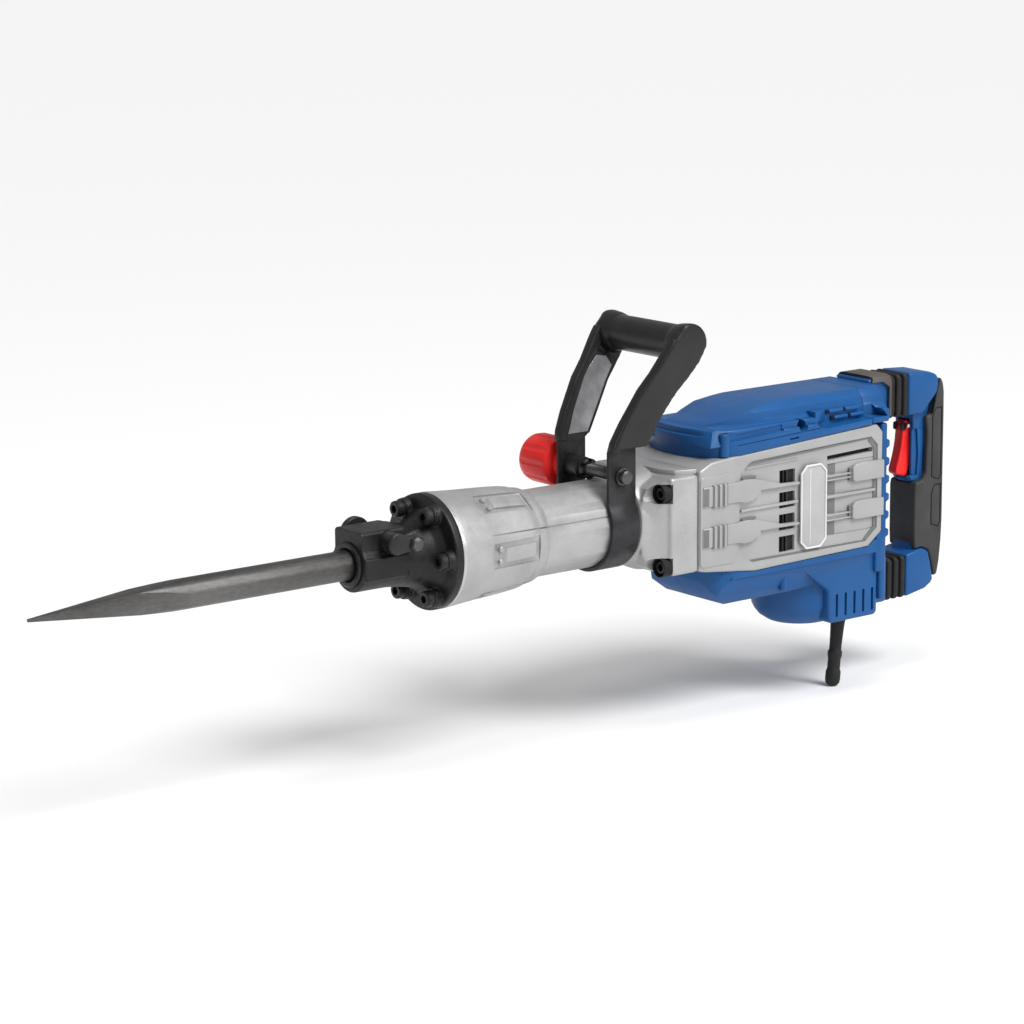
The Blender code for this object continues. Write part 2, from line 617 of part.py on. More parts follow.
def cord_guard():
    """Ribbed rubber guard that leans forward out of the cord block."""
    profile = [(0, 0), (8.5, 0), (8.5, -5), (6.5, -36), (6.5, -42), (7.7, -43), (7.7, -48),
               (6.8, -50), (6.8, -62), (8, -64), (8, -74), (5.5, -79), (0, -79)]
    guard = turned("cord_guard", "Z", (0, 0, 0), profile, RUBBER, 16)
    exit_point = Matrix.Translation(Vector((GUARD_X, GUARD_Y, -139.0)) * MM)
    guard.matrix_local = exit_point @ Matrix.Rotation(math.radians(GUARD_LEAN), 4, "Y")


# ---- turning side handle -----------------------------------------------------------------------
def clamp_strap():
    """Steel band under the neck whose legs run up inside the handle's arms."""
    start, end = 180 - STRAP_WRAP, 360 + STRAP_WRAP
    band = [(-LEG_IN, 79)] + arc((0, 0), STRAP_IN, start, end, 16) + [(LEG_IN, 79)]
    band += [(LEG_OUT, 79)] + arc((0, 0), STRAP_OUT, end, start, 16) + [(-LEG_OUT, 79)]
    strap = prism("clamp_strap", "YZ", band, STRAP_X0, STRAP_X1, DARK_STEEL)
    leg = [(194, 70), (221, 70), (232, 84), (246, 106), (262, 132), (276, 148), (262, 162),
           (245, 162), (224, 137), (213, 120), (204, 104), (195, 84)]
    for side in (-1, 1):
        ends = sorted((side * LEG_IN, side * LEG_OUT))
        upright = prism(f"leg_{side}", "XZ", leg, *ends)
        lean_outwards(upright)
        boolean(strap, upright, "UNION")
    boolean(strap, rod("clamp_hole", "Y", (CLAMP_X, 0, CLAMP_Z), 5.4, -60, 60))


def bail_grip():
    """Moulded sleeves outside the strap's legs, joined by the round top bar."""
    arm = [(189, SLEEVE_Z), (235, SLEEVE_Z), (250, 108), (267, 131), (280, 144), (292, 156)]
    arm += arc((BAR_X, BAR_Z), 21.5, -20, 100, 6)
    arm += [(262, 190), (248, 172), (234, 153), (221, 138), (211, 121), (202, 106), (193, 86)]
    bar = rod("bail_grip", "Y", (BAR_X, 0, BAR_Z), BAR_R, -60, 60, BLACK_PLASTIC, 24)
    for side in (-1, 1):
        ends = sorted((side * (LEG_OUT + 0.9), side * (LEG_OUT + 6.5)))
        sleeve = prism(f"sleeve_{side}", "XZ", arm, *ends)
        lean_outwards(sleeve)
        boolean(bar, sleeve, "UNION")


def clamp_screw():
    outer = LEG_OUT + GAP
    bolt = [(0, -outer - 9.5), (7, -outer - 9.5), (8, -outer - 8), (8, -outer), (5, -outer),
            (5, 80), (0, 80)]
    turned("clamp_bolt", "Y", (CLAMP_X, 0, CLAMP_Z), bolt, DARK_STEEL, 16)
    ring("spacer_tube", "Y", (CLAMP_X, 0, CLAMP_Z), 5.4, 11, 18.5, LEG_IN - GAP, DARK_STEEL, 16)
    outline = []
    for i in range(KNOB_LOBES):
        middle = 360 * i / KNOB_LOBES
        outline += arc((0, 0), KNOB_R, middle - 9, middle + 9, 2)
        outline += arc((0, 0), KNOB_R - 3, middle + 18, middle + 18.1, 1)[:1]
    knob = prism("clamp_knob", "XZ", outline, 52, 99, RED)
    knob.data.transform(Matrix.Translation(Vector((CLAMP_X, 0, CLAMP_Z)) * MM))
    set_pivot(knob, CLAMP_X, 0, CLAMP_Z)
    boolean(knob, rod("knob_collar", "Y", (CLAMP_X, 0, CLAMP_Z), 15, outer, 60), "UNION")
    boolean(knob, rod("knob_bore", "Y", (CLAMP_X, 0, CLAMP_Z), 5.4, 40, 81))


# ---- sprung rear handle ------------------------------------------------------------------------
def handle_shell():
    upper = [(HANDLE_X, UPPER_Z[0]), (634, 60), (654, 60), (657, 76), (664, 97), (650, 106),
             (HANDLE_X, UPPER_Z[1])]
    lower = [(HANDLE_X, LOWER_Z[0]), (648, -131), (660, -122), (655, -100), (652, -88),
             (634, -88), (HANDLE_X, LOWER_Z[1])]
    shell = prism("handle_shell", "XZ", upper, -22, 22, BLUE, bevel=3)
    boolean(shell, prism("lower_arm", "XZ", lower, -22, 22, bevel=3), "UNION")
    boolean(shell, box("grip_core", (CORE_X[0], -11, -100), (CORE_X[1], 11, 74)), "UNION")
    boolean(shell, box("trigger_slot", (600, -8.2, -9), (CORE_X[1] - 3, 8.2, 55)))
    boolean(shell, rod("trigger_pin_hole", "Y", (TRIGGER_X, 0, TRIGGER_Z), 2.35, -30, 30, steps=12))
    for height, name in zip(SPRING_Z, ("upper", "lower")):
        boolean(shell, rod(f"{name}_seat", "X", (0, 0, height), 10, 600, 632))


def handle_grip():
    outline = [(637, 55), (656, 59), (660, 78), (665, 96), (669, 98), (673.5, 88), (674.5, 76),
               (674.5, -58), (672, -100), (668, -119), (663, -120), (659, -100), (654.5, -87),
               (637, -84)]
    grip = prism("handle_grip", "XZ", rounded(outline, 4, 2), -20, 20, RUBBER, bevel=3)
    boolean(grip, box("core_channel", (600, -11.4, -110), (CORE_X[1] + 0.4, 11.4, 90)))


def trigger():
    outline = [(625, 49), (629, 53), (634, 52), (640, 40), (642, 16), (642, -6), (630, -7),
               (617, -4), (616.5, 1), (620, 20), (623, 38)]
    lever = prism("trigger", "XZ", rounded(outline, 2, 2), -7.6, 7.6, RED)
    set_pivot(lever, TRIGGER_X, 0, TRIGGER_Z)
    boolean(lever, rod("trigger_bore", "Y", (TRIGGER_X, 0, TRIGGER_Z), 2.35, -20, 20, steps=12))
    rod("trigger_pin", "Y", (TRIGGER_X, 0, TRIGGER_Z), 2, -10.8, 10.8, STEEL, 12)
    box("trigger_switch", (652.5, -7.8, 2), (CORE_X[1] - 3.3, 7.8, 40), BLACK_PLASTIC, bevel=1)


def bellows(name, low, high):
    """Rectangular rubber tube with three ribs."""
    start, end = STUB_END_X + GAP, HANDLE_X - GAP
    tube = box(name, (start, -20, low + 3), (end, 20, high - 3), RUBBER)
    pitch = (end - start) / 3
    for i in range(3):
        middle = start + pitch * (i + 0.5)
        rib = box(f"{name}_rib_{i + 1}", (middle - 3, -23, low), (middle + 3, 23, high), bevel=1.2)
        boolean(tube, rib, "UNION")
    boolean(tube, box(f"{name}_hollow", (start - 5, -17, low + 6), (end + 5, 17, high - 6)))


def handle_spring(name, height):
    """Coil on the stub's post, inside the bellows."""
    start, end, radius, turns, count = 557.5, 630.0, 7.6, 6, 8
    curve = bpy.data.curves.new(name, "CURVE")
    curve.dimensions = "3D"
    curve.bevel_depth = 1.3 * MM
    curve.bevel_resolution = 0
    curve.use_fill_caps = True
    spline = curve.splines.new("POLY")
    total = turns * count
    spline.points.add(total)
    for i, point in enumerate(spline.points):
        angle = 2 * math.pi * i / count
        x = start + (end - start) * i / total
        point.co = (x * MM, radius * math.cos(angle) * MM, radius * math.sin(angle) * MM, 1)
    curve_to_mesh(name, curve, Matrix.Translation(Vector((0, 0, height)) * MM), STEEL)


# ---- assembly ----------------------------------------------------------------------------------
clear_scene()
PARTS = new_collection("electric_jackhammer")
CUTTERS = new_collection("cutters")
ROOT = tool_frame()

front_cover()
nose_bush()
chisel()
retainer()
cover_bolts()
barrel()
striking_train()
piston_and_rod()
crank()
intermediate_gear()
armature()
motor_fixed_parts()
gear_case()
motor_housing()
side_labels()
top_cover()
bottom_cover()
rear_cover()
trim_band()
cord_guard()
clamp_strap()
bail_grip()
clamp_screw()
handle_shell()
handle_grip()
trigger()
bellows("bellows_upper", *UPPER_Z)
bellows("bellows_lower", *LOWER_Z)
handle_spring("handle_spring_upper", SPRING_Z[0])
handle_spring("handle_spring_lower", SPRING_Z[1])

for part in PARTS.objects:
    if part.type == "MESH":
        smooth(part.data)
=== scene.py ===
"""Looks for the electric demolition hammer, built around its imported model."""
import json
import math

import bpy
from mathutils import Matrix, Vector

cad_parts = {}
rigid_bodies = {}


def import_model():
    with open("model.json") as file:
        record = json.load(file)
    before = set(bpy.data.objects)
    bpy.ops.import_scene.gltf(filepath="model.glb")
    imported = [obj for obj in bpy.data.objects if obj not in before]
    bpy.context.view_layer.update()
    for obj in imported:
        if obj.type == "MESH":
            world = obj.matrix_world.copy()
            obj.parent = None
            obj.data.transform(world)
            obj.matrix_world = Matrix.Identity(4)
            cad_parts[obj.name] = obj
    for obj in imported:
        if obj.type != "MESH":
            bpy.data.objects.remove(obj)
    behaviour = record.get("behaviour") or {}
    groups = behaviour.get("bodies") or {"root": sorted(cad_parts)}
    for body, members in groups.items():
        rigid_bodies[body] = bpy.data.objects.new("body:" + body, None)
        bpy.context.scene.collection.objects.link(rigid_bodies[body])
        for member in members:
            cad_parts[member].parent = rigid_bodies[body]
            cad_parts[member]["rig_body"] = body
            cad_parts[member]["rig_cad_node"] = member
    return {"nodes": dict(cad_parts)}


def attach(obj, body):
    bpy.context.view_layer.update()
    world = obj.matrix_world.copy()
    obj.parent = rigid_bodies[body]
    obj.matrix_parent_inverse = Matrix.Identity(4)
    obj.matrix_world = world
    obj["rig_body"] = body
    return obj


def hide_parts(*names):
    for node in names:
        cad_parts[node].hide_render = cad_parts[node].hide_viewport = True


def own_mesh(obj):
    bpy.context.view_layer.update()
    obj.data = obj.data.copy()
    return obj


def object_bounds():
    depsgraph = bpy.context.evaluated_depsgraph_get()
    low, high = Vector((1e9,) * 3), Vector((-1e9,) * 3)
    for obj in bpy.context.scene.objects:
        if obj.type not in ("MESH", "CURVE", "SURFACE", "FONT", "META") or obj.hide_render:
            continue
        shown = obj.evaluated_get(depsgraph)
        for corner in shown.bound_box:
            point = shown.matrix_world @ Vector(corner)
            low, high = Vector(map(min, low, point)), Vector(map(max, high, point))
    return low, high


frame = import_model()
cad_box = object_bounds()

MM = 0.001
TOOL = Vector((-0.482, 0.0, 0.140))     # where the barrel's front joint lies in the row frame
PI = math.pi
HAMMER_AXIS = (0, 0, 0)
RETAINER_AXIS, THUMB_AXIS = (-64, 0, 22), (-43, 0, 19.5)
CLAMP_AXIS, BAR_AXIS = (207, 0, 52.5), (277, 0, 179)
TRIGGER_AXIS, GUARD_ROOT = (630, 0, 48), (526, -16, -139)


# ---- modelling helpers: all lengths in millimetres from the barrel's front joint --------------
def at(x, y, z):
    return Vector((x, y, z)) * MM + TOOL


def span(side, inner, outer):
    """The two distances on one side of the tool, lower value first."""
    return sorted((side * inner, side * outer))


def select_only(*pieces):
    if bpy.context.object and bpy.context.object.mode != "OBJECT":
        bpy.ops.object.mode_set(mode="OBJECT")
    bpy.ops.object.select_all(action="DESELECT")
    for piece in pieces:
        piece.select_set(True)
    if pieces:
        bpy.context.view_layer.objects.active = pieces[0]


def open_edit(piece):
    """Into edit mode with the whole mesh selected."""
    select_only(piece)
    bpy.ops.object.mode_set(mode="EDIT")
    bpy.ops.mesh.select_all(action="SELECT")


def close_edit():
    bpy.ops.object.mode_set(mode="OBJECT")


def named(name):
    piece = bpy.context.object
    piece.name = piece.data.name = name
    return piece


def settle(piece):
    """Put the object at the origin, with its place in its mesh."""
    select_only(piece)
    bpy.ops.object.transform_apply(location=True, rotation=True, scale=True)
    return piece


def modify(piece, kind, **values):
    select_only(piece)
    modifier = piece.modifiers.new(kind.title(), kind)
    for key, value in values.items():
        setattr(modifier, key, value)
    bpy.ops.object.modifier_apply(modifier=modifier.name)
    return piece


def soften(piece, width, steps=2, angle=32):
    return modify(piece, "BEVEL", width=width * MM, segments=steps, limit_method="ANGLE",
                  angle_limit=math.radians(angle), use_clamp_overlap=True)


def cut(piece, *tools, how="DIFFERENCE"):
    for tool in tools:
        modify(piece, "BOOLEAN", operation=how, object=tool, solver="EXACT")
        bpy.data.objects.remove(tool)
    return piece


def add(piece, *others):
    return cut(piece, *others, how="UNION")


def join(piece, *others):
    """One object out of several bodies that touch or overlap."""
    select_only(piece, *others)
    bpy.ops.object.join()
    return piece


def block(name, low, high, edge=0.0, steps=2):
    select_only()
    a, b = at(*low), at(*high)
    bpy.ops.mesh.primitive_cube_add(size=1, location=(a + b) / 2, scale=b - a)
    piece = settle(named(name))
    if edge:
        open_edit(piece)
        bpy.ops.mesh.bevel(offset=edge * MM, segments=steps, affect="EDGES")
        close_edit()
    return piece


def chain(name, points):
    """A mesh line drawn point by point; it is left open in edit mode, all selected."""
    select_only()
    bpy.ops.mesh.primitive_plane_add(size=0.001)
    piece = named(name)
    bpy.ops.object.mode_set(mode="EDIT")
    bpy.ops.mesh.select_all(action="SELECT")
    bpy.ops.mesh.merge(type="CENTER")
    bpy.ops.transform.translate(value=points[0])
    for start, end in zip(points, points[1:]):
        bpy.ops.mesh.extrude_vertices_move(TRANSFORM_OT_translate={"value": end - start})
    bpy.ops.mesh.select_all(action="SELECT")
    return piece


ORDER = {"XY": lambda a, b, c: at(a, b, c), "XZ": lambda a, b, c: at(a, c, b),
         "YZ": lambda a, b, c: at(c, a, b)}


def plate(name, outline, plane, start, end, edge=0.0, steps=2):
    """An outline drawn in a plane, filled and extruded from start to end."""
    place = ORDER[plane]
    piece = chain(name, [place(a, b, start) for a, b in outline])
    bpy.ops.mesh.edge_face_add()
    shift = place(0, 0, end) - place(0, 0, start)
    bpy.ops.mesh.extrude_region_move(TRANSFORM_OT_translate={"value": shift})
    bpy.ops.mesh.select_all(action="SELECT")
    bpy.ops.mesh.normals_make_consistent(inside=False)
    close_edit()
    return soften(piece, edge, steps) if edge else piece


AXES = {"X": (Vector((1, 0, 0)), Vector((0, 0, 1))), "Y": (Vector((0, 1, 0)), Vector((0, 0, 1))),
        "Z": (Vector((0, 0, 1)), Vector((1, 0, 0)))}


def turned(name, axis, centre, profile, steps=64):
    """A (radius, height) profile drawn beside the axis and spun round it."""
    along, side = AXES[axis]
    middle = at(*centre)
    piece = chain(name, [middle + (along * h + side * r) * MM for r, h in profile])
    bpy.ops.mesh.spin(steps=steps, angle=2 * PI, center=middle, axis=along)
    bpy.ops.mesh.select_all(action="SELECT")
    bpy.ops.mesh.remove_doubles(threshold=1e-6)
    bpy.ops.mesh.normals_make_consistent(inside=False)
    close_edit()
    return piece


def rod(name, axis, centre, radius, low, high, steps=32, edge=0.0):
    e = edge
    profile = [(0, low), (radius - e, low)] + ([(radius, low + e), (radius, high - e)] if e else [])
    return turned(name, axis, centre, profile + [(radius - e, high), (0, high)], steps)


ALONG_X, ALONG_Y = (0, PI / 2, 0), (PI / 2, 0, 0)


def hex_socket(radius, depth, centre, turn):
    """A cutter for a hexagon socket."""
    select_only()
    bpy.ops.mesh.primitive_cylinder_add(vertices=6, radius=radius * MM, depth=depth * MM,
                                        location=at(*centre), rotation=turn)
    return settle(named("socket_cutter"))


def copy_of(piece, name, shift=(0, 0, 0)):
    select_only(piece)
    bpy.ops.object.duplicate()
    twin = named(name)
    open_edit(twin)
    bpy.ops.transform.translate(value=Vector(shift) * MM)
    close_edit()
    return twin


def tilt(piece, degrees, axis, centre):
    """Turn by the right hand; with no window, transform.rotate itself turns the other way."""
    open_edit(piece)
    bpy.ops.transform.rotate(value=-math.radians(degrees), orient_axis=axis,
                             center_override=at(*centre))
    close_edit()
    return piece


def merged_copy(node, name):
    """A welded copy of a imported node, ready to be worked on."""
    select_only()
    source = frame["nodes"][node]
    twin = source.copy()
    twin.data = source.data.copy()
    bpy.context.scene.collection.objects.link(twin)
    twin.parent = None
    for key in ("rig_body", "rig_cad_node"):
        if key in twin:
            del twin[key]
    twin.name = twin.data.name = name
    twin.data.materials.clear()
    open_edit(twin)
    bpy.ops.mesh.remove_doubles(threshold=2e-6)
    bpy.ops.mesh.dissolve_limited(angle_limit=math.radians(0.6))
    close_edit()
    return twin


def cast(piece, grain=1.2, rounds=6):
    """Blend a cast piece's joined bodies into one skin with soft fillets."""
    modify(piece, "REMESH", mode="VOXEL", voxel_size=grain * MM, adaptivity=0.0)
    return modify(piece, "SMOOTH", factor=0.5, iterations=rounds)


def arc(cx, cy, radius, start, end, count):
    return [(cx + radius * math.cos(math.radians(start + (end - start) * i / count)),
             cy + radius * math.sin(math.radians(start + (end - start) * i / count)))
            for i in range(count + 1)]


def flow(points, steps=4):
    """A smooth line through the given points."""
    ends = [points[0]] + points + [points[-1]]
    line = []
    for a, b, c, d in zip(ends, ends[1:], ends[2:], ends[3:]):
        for i in range(steps):
            t = i / steps
            line.append(tuple(.5 * (2 * q + (r - p) * t + (2 * p - 5 * q + 4 * r - s) * t * t
                                    + (3 * q - p - 3 * r + s) * t ** 3)
                              for p, q, r, s in zip(a, b, c, d)))
    return line + [points[-1]]


def rounded_box(low_a, low_b, high_a, high_b, radius, count=5):
    r = radius
    return (arc(high_a - r, high_b - r, r, 0, 90, count) + arc(low_a + r, high_b - r, r, 90, 180, count)
            + arc(low_a + r, low_b + r, r, 180, 270, count)
            + arc(high_a - r, low_b + r, r, 270, 360, count))


def fit(piece, finish, body, *nodes, angle=35):
    """Give a finished piece its finish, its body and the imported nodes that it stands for."""
    piece.data.materials.clear()
    piece.data.materials.append(finish[1])
    select_only(piece)
    bpy.ops.object.shade_smooth_by_angle(angle=math.radians(angle))
    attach(piece, body)
    if nodes:
        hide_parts(*nodes)
    return piece


# ---- finishes -------------------------------------------------------------------------------
def surface(slot, name, dark, light, rough, metal=0.0, patch=22.0, grain=900.0, relief=0.25,
            depth=0.15, stretch=(1, 1, 1), spread=0.12, coat=0.0):
    """A two-tone finish: broad patches of tone, uneven gloss and a fine grain in relief."""
    material = bpy.data.materials.new(name)
    material.use_nodes = True
    tree = material.node_tree
    nodes, links = tree.nodes, tree.links
    shader = nodes["Principled BSDF"]
    shader.inputs["Metallic"].default_value = metal
    shader.inputs["Coat Weight"].default_value = coat
    shader.inputs["Specular IOR Level"].default_value = .5 if dark[1] > .1 else .3
    shader.inputs["Coat Roughness"].default_value = 0.25
    place = nodes.new("ShaderNodeTexCoord")
    pull = nodes.new("ShaderNodeMapping")
    pull.inputs["Scale"].default_value = stretch
    links.new(place.outputs["Object"], pull.inputs["Vector"])

    def noise(scale, detail):
        node = nodes.new("ShaderNodeTexNoise")
        node.inputs["Scale"].default_value = scale
        node.inputs["Detail"].default_value = detail
        links.new(pull.outputs["Vector"], node.inputs["Vector"])
        return node.outputs["Fac"]

    tone = nodes.new("ShaderNodeValToRGB")
    tone.color_ramp.elements[0].position, tone.color_ramp.elements[1].position = 0.3, 0.7
    tone.color_ramp.elements[0].color = (*dark, 1)
    tone.color_ramp.elements[1].color = (*light, 1)
    blend = nodes.new("ShaderNodeMath")
    blend.operation = "MULTIPLY_ADD"
    links.new(noise(patch, 6.0), blend.inputs[0])
    blend.inputs[1].default_value = 0.7
    scaled = nodes.new("ShaderNodeMath")
    scaled.operation = "MULTIPLY"
    fine = noise(grain, 3.0)
    links.new(fine, scaled.inputs[0])
    scaled.inputs[1].default_value = 0.3
    links.new(scaled.outputs[0], blend.inputs[2])
    links.new(blend.outputs[0], tone.inputs["Fac"])
    links.new(tone.outputs["Color"], shader.inputs["Base Color"])
    gloss = nodes.new("ShaderNodeMapRange")
    gloss.inputs["To Min"].default_value = rough - spread
    gloss.inputs["To Max"].default_value = rough + spread
    links.new(noise(patch * 5, 4.0), gloss.inputs["Value"])
    links.new(gloss.outputs["Result"], shader.inputs["Roughness"])
    bump = nodes.new("ShaderNodeBump")
    bump.inputs["Strength"].default_value = relief
    bump.inputs["Distance"].default_value = depth * MM
    links.new(fine, bump.inputs["Height"])
    links.new(bump.outputs["Normal"], shader.inputs["Normal"])
    return slot, material


black_iron = surface("black_iron", "painted_cast_iron", (.005, .005, .0055), (.014, .014, .015),
                     .42, patch=35, grain=520, relief=.35, depth=.5)
forged_steel = surface("steel", "forged_tool_steel", (.07, .068, .066), (.17, .167, .163), .40, .95,
                       patch=30, grain=420, relief=.3, depth=.35, stretch=(.35, 1, 1))
bright_steel = surface("steel", "turned_bright_steel", (.38, .38, .39), (.56, .56, .57), .27, 1,
                       patch=60, grain=1600, relief=.2, depth=.06, stretch=(1, .15, .15))
dark_steel = surface("dark_steel", "blackened_steel", (.016, .016, .017), (.05, .05, .053), .38,
                     .6, patch=60, grain=900, relief=.2, depth=.1)
plated_steel = surface("dark_steel", "zinc_plated_steel", (.24, .24, .25), (.42, .42, .43), .34,
                       .95, patch=70, grain=900, relief=.25, depth=.1)
cast_silver = surface("cast_silver", "cast_aluminium", (.33, .33, .33), (.47, .47, .47), .42, .55,
                      patch=26, grain=620, relief=.35, depth=.3)
machined_silver = surface("cast_silver", "machined_aluminium", (.42, .42, .42), (.54, .54, .54),
                          .34, .7, patch=50, grain=1200, relief=.2, depth=.08)
silver_paint = surface("cast_silver", "silver_painted_case", (.31, .31, .313), (.39, .39, .39),
                       .40, .25, patch=18, grain=1100, relief=.2, depth=.12)
# painted shade: a darker copy of the silver paint, laid where shade falls on recess edges, latch roots
# and bay strips
painted_shade_silver = surface("cast_silver", "shaded_silver_paint", (.13, .13, .132), (.18, .18, .182),
                       .5, .2, patch=30, grain=1100, relief=.25, depth=.15)
blue_shell = surface("blue_shell", "blue_moulded_plastic", (.0035, .062, .205), (.006, .083, .262),
                     .40, patch=16, grain=1500, relief=.18, depth=.1, spread=.07)
black_rubber = surface("black_rubber", "black_rubber", (.008, .008, .008), (.018, .017, .017),
                       .62, patch=45, grain=1300, relief=.35, depth=.15)
grip_rubber = surface("black_rubber", "grip_rubber", (.030, .029, .029), (.052, .050, .050),
                      .60, patch=40, grain=1700, relief=.4, depth=.18)
trim_rubber = surface("grey_rubber", "trim_rubber", (.060, .052, .048), (.095, .085, .080), .55,
                      patch=40, grain=1500, relief=.35, depth=.15)
black_plastic = surface("black_plastic", "black_moulded_plastic", (.008, .008, .008),
                        (.020, .020, .020), .34, patch=24, grain=1400, relief=.22, depth=.12)
red_plastic = surface("red_plastic", "red_moulded_plastic", (.66, .012, .012), (.84, .022, .022),
                      .36, patch=30, grain=1300, relief=.2, depth=.1)
copper = surface("copper", "wound_copper", (.45, .16, .06), (.75, .33, .16), .35, .9, patch=60,
                 grain=900, relief=.4, depth=.2)
plate_grey = surface("pale_plastic", "label_plate_grey", (.34, .34, .34), (.42, .42, .42), .45,
                     patch=40, grain=1600, relief=.15, depth=.06)
plate_white = surface("pale_plastic", "label_plate_white", (.58, .58, .58), (.68, .68, .68), .4,
                      patch=40, grain=1600, relief=.15, depth=.06)
# painted shade: a near-black material for pieces set in holes, gaps and behind vents, where shade falls
painted_shade_black = surface("black_plastic", "painted_shade_inside", (.004, .004, .004), (.012, .012, .012), .7,
                     patch=60, grain=900, relief=.2, depth=.1)

BY_SLOT = {"black_iron": black_iron, "steel": bright_steel, "dark_steel": dark_steel,
           "cast_silver": cast_silver, "blue_shell": blue_shell, "black_rubber": black_rubber,
           "grey_rubber": trim_rubber, "black_plastic": black_plastic, "red_plastic": red_plastic,
           "copper": copper, "pale_plastic": plate_grey}


# ---- nose, chisel and barrel ----------------------------------------------------------------
BOLT_RING = [(46.5 * math.cos(PI * i / 3), 46.5 * math.sin(PI * i / 3)) for i in range(6)]


def socket_bolt(name, seat, y, z, end, head=8.0, tall=10.0, washer=True):
    """A cap screw along the tool: head, hex socket, washer and shank."""
    top = seat - tall
    profile = [(0, top), (head - 1.2, top), (head - .2, top + .9), (head - .2, top + 1.6),
               (head - .5, top + 1.9), (head, top + 2.3), (head, seat - 2.2)]
    if washer:
        profile += [(head + .2, seat - 2.0), (9.4, seat - 1.8), (9.4, seat - .2)]
    profile += [(5, seat - .2), (5, end - 1), (4.2, end), (0, end)]
    bolt = turned(name, "X", (0, y, z), profile, 40)
    return cut(bolt, hex_socket(4.3, 12, (top, y, z), ALONG_X))


PAD_TURNS = [93 - 60 * i for i in range(6)]      # degrees from the top towards the near side
SEAM_TURNS = [71 - 90 * i for i in range(4)]


def nose():
    flange = turned("front_cover", "X", HAMMER_AXIS,
                    [(0, -.3), (57, -.3), (57, -7.6), (56.2, -8.4), (42, -9), (36, -16),
                     (31.4, -27), (28.6, -42), (27.2, -56), (27, -68), (27, -93), (26, -94),
                     (0, -94)], 96)
    hood = plate("nose_block", [(-22, 2), (22, 2), (22, 31.5), (20, 33.5), (-20, 33.5),
                                (-22, 31.5)], "YZ", -94, -44)
    ramp = plate("nose_ramp", [(-46, 2), (-46, 33.5), (-38, 32), (-24, 28), (-14, 22), (-12, 2)],
                 "XZ", -17, 17)
    add(flange, hood, ramp)
    for side in (-1, 1):
        low, high = span(side, 20, 27.8)
        add(flange, block("side_rail", (-93.8, low, -13), (-44, high, 8.8)))
    for i, (y, z) in enumerate(BOLT_RING):
        add(flange, rod(f"bolt_boss_{i}", "X", (0, y, z), 10, -14, -3, 24))
    cast(flange, 1.0, 3)
    cutters = [rod("bush_bore", "X", HAMMER_AXIS, 22.2, -99, -30, 64),
               rod("pin_bore", "Y", RETAINER_AXIS, 10.4, -40, 40, 40)]
    for y, z in BOLT_RING:
        cutters.append(rod("bolt_hole", "X", (0, y, z), 5.6, -30, 5, 20))
        cutters.append(rod("spot_face", "X", (0, y, z), 9.7, -24, -13.9, 32))
    cut(flange, join(*cutters))
    fit(flange, black_iron, "hammer", "front_cover", angle=40)
    bush = turned("nose_bush", "X", HAMMER_AXIS,
                  [(15, -36), (15, -94.5), (17, -97), (20.3, -97), (21.9, -95.6), (21.9, -36),
                   (15, -36)], 64)
    fit(bush, dark_steel, "hammer", "nose_bush")
    for i, (y, z) in enumerate(BOLT_RING):
        fit(socket_bolt(f"cover_bolt_{i + 1}", -14, y, z, 14), dark_steel, "hammer",
            f"cover_bolt_{i + 1}")


def chisel():
    bar = turned("chisel", "X", HAMMER_AXIS,
                 [(0, -440), (14.5, -440), (14.5, -19.5), (13, -18), (0, -18)], 96)
    for normal in ((0, 1, 0), (0, -1, 0), (0, 0, 1), (0, 0, -1)):
        open_edit(bar)
        rise = 1.3 / 14.5
        across = Vector(normal)
        point = at(-440, 0, 0) + across * 1.25 * MM
        face = across + Vector((-rise * .92, 0, 0))
        bpy.ops.mesh.bisect(plane_co=point, plane_no=face, use_fill=True, clear_outer=True)
        close_edit()
    soften(bar, .7, 2, 12)
    cut(bar, block("retainer_notch", (-71.2, -20, 11.4), (-34.8, 20, 20)))
    fit(bar, forged_steel, "chisel", "chisel", angle=30)


def retainer():
    """The cross pin: flat for the chisel, round far head, and a short thumb lever."""
    pin = rod("retainer", "Y", RETAINER_AXIS, 10, -35, 31, 48, edge=1)
    cut(pin, block("pin_flat", (-90, -16, 28.4), (-40, 16, 45)))
    head = turned("retainer_head", "Y", RETAINER_AXIS,
                  [(0, 28), (14.6, 28), (15.5, 29), (15.5, 34.5), (14, 37), (11, 38), (0, 38)], 64)
    arm = plate("retainer_lever", arc(-64, 22, 10.6, 75, 285, 14) + [(-50, 13), (-44, 12.2)]
                + arc(-43, 19.5, 7.2, -60, 60, 8) + [(-44, 27), (-52, 28.6)], "XZ", -40, -33)
    soften(arm, 1.6, 3, 40)
    thumb = turned("lever_thumb", "Y", THUMB_AXIS,
                   [(0, -44), (6.4, -44), (8.4, -42), (8.6, -39), (8.6, -34), (7.4, -32), (0, -32)], 7)
    soften(thumb, 1.5, 3, 20)
    add(pin, head, arm, thumb)
    cut(pin, rod("head_dimple", "Y", RETAINER_AXIS, 6, 36.4, 50, 40))
    soften(pin, .5, 2, 40)
    fit(pin, dark_steel, "retainer", "retainer", angle=40)
    cap = turned("lever_cap", "Y", THUMB_AXIS, [(0, -44.4), (5.6, -44.4), (6.6, -43.8), (0, -43.8)],
                 7)
    fit(cap, forged_steel, "retainer")


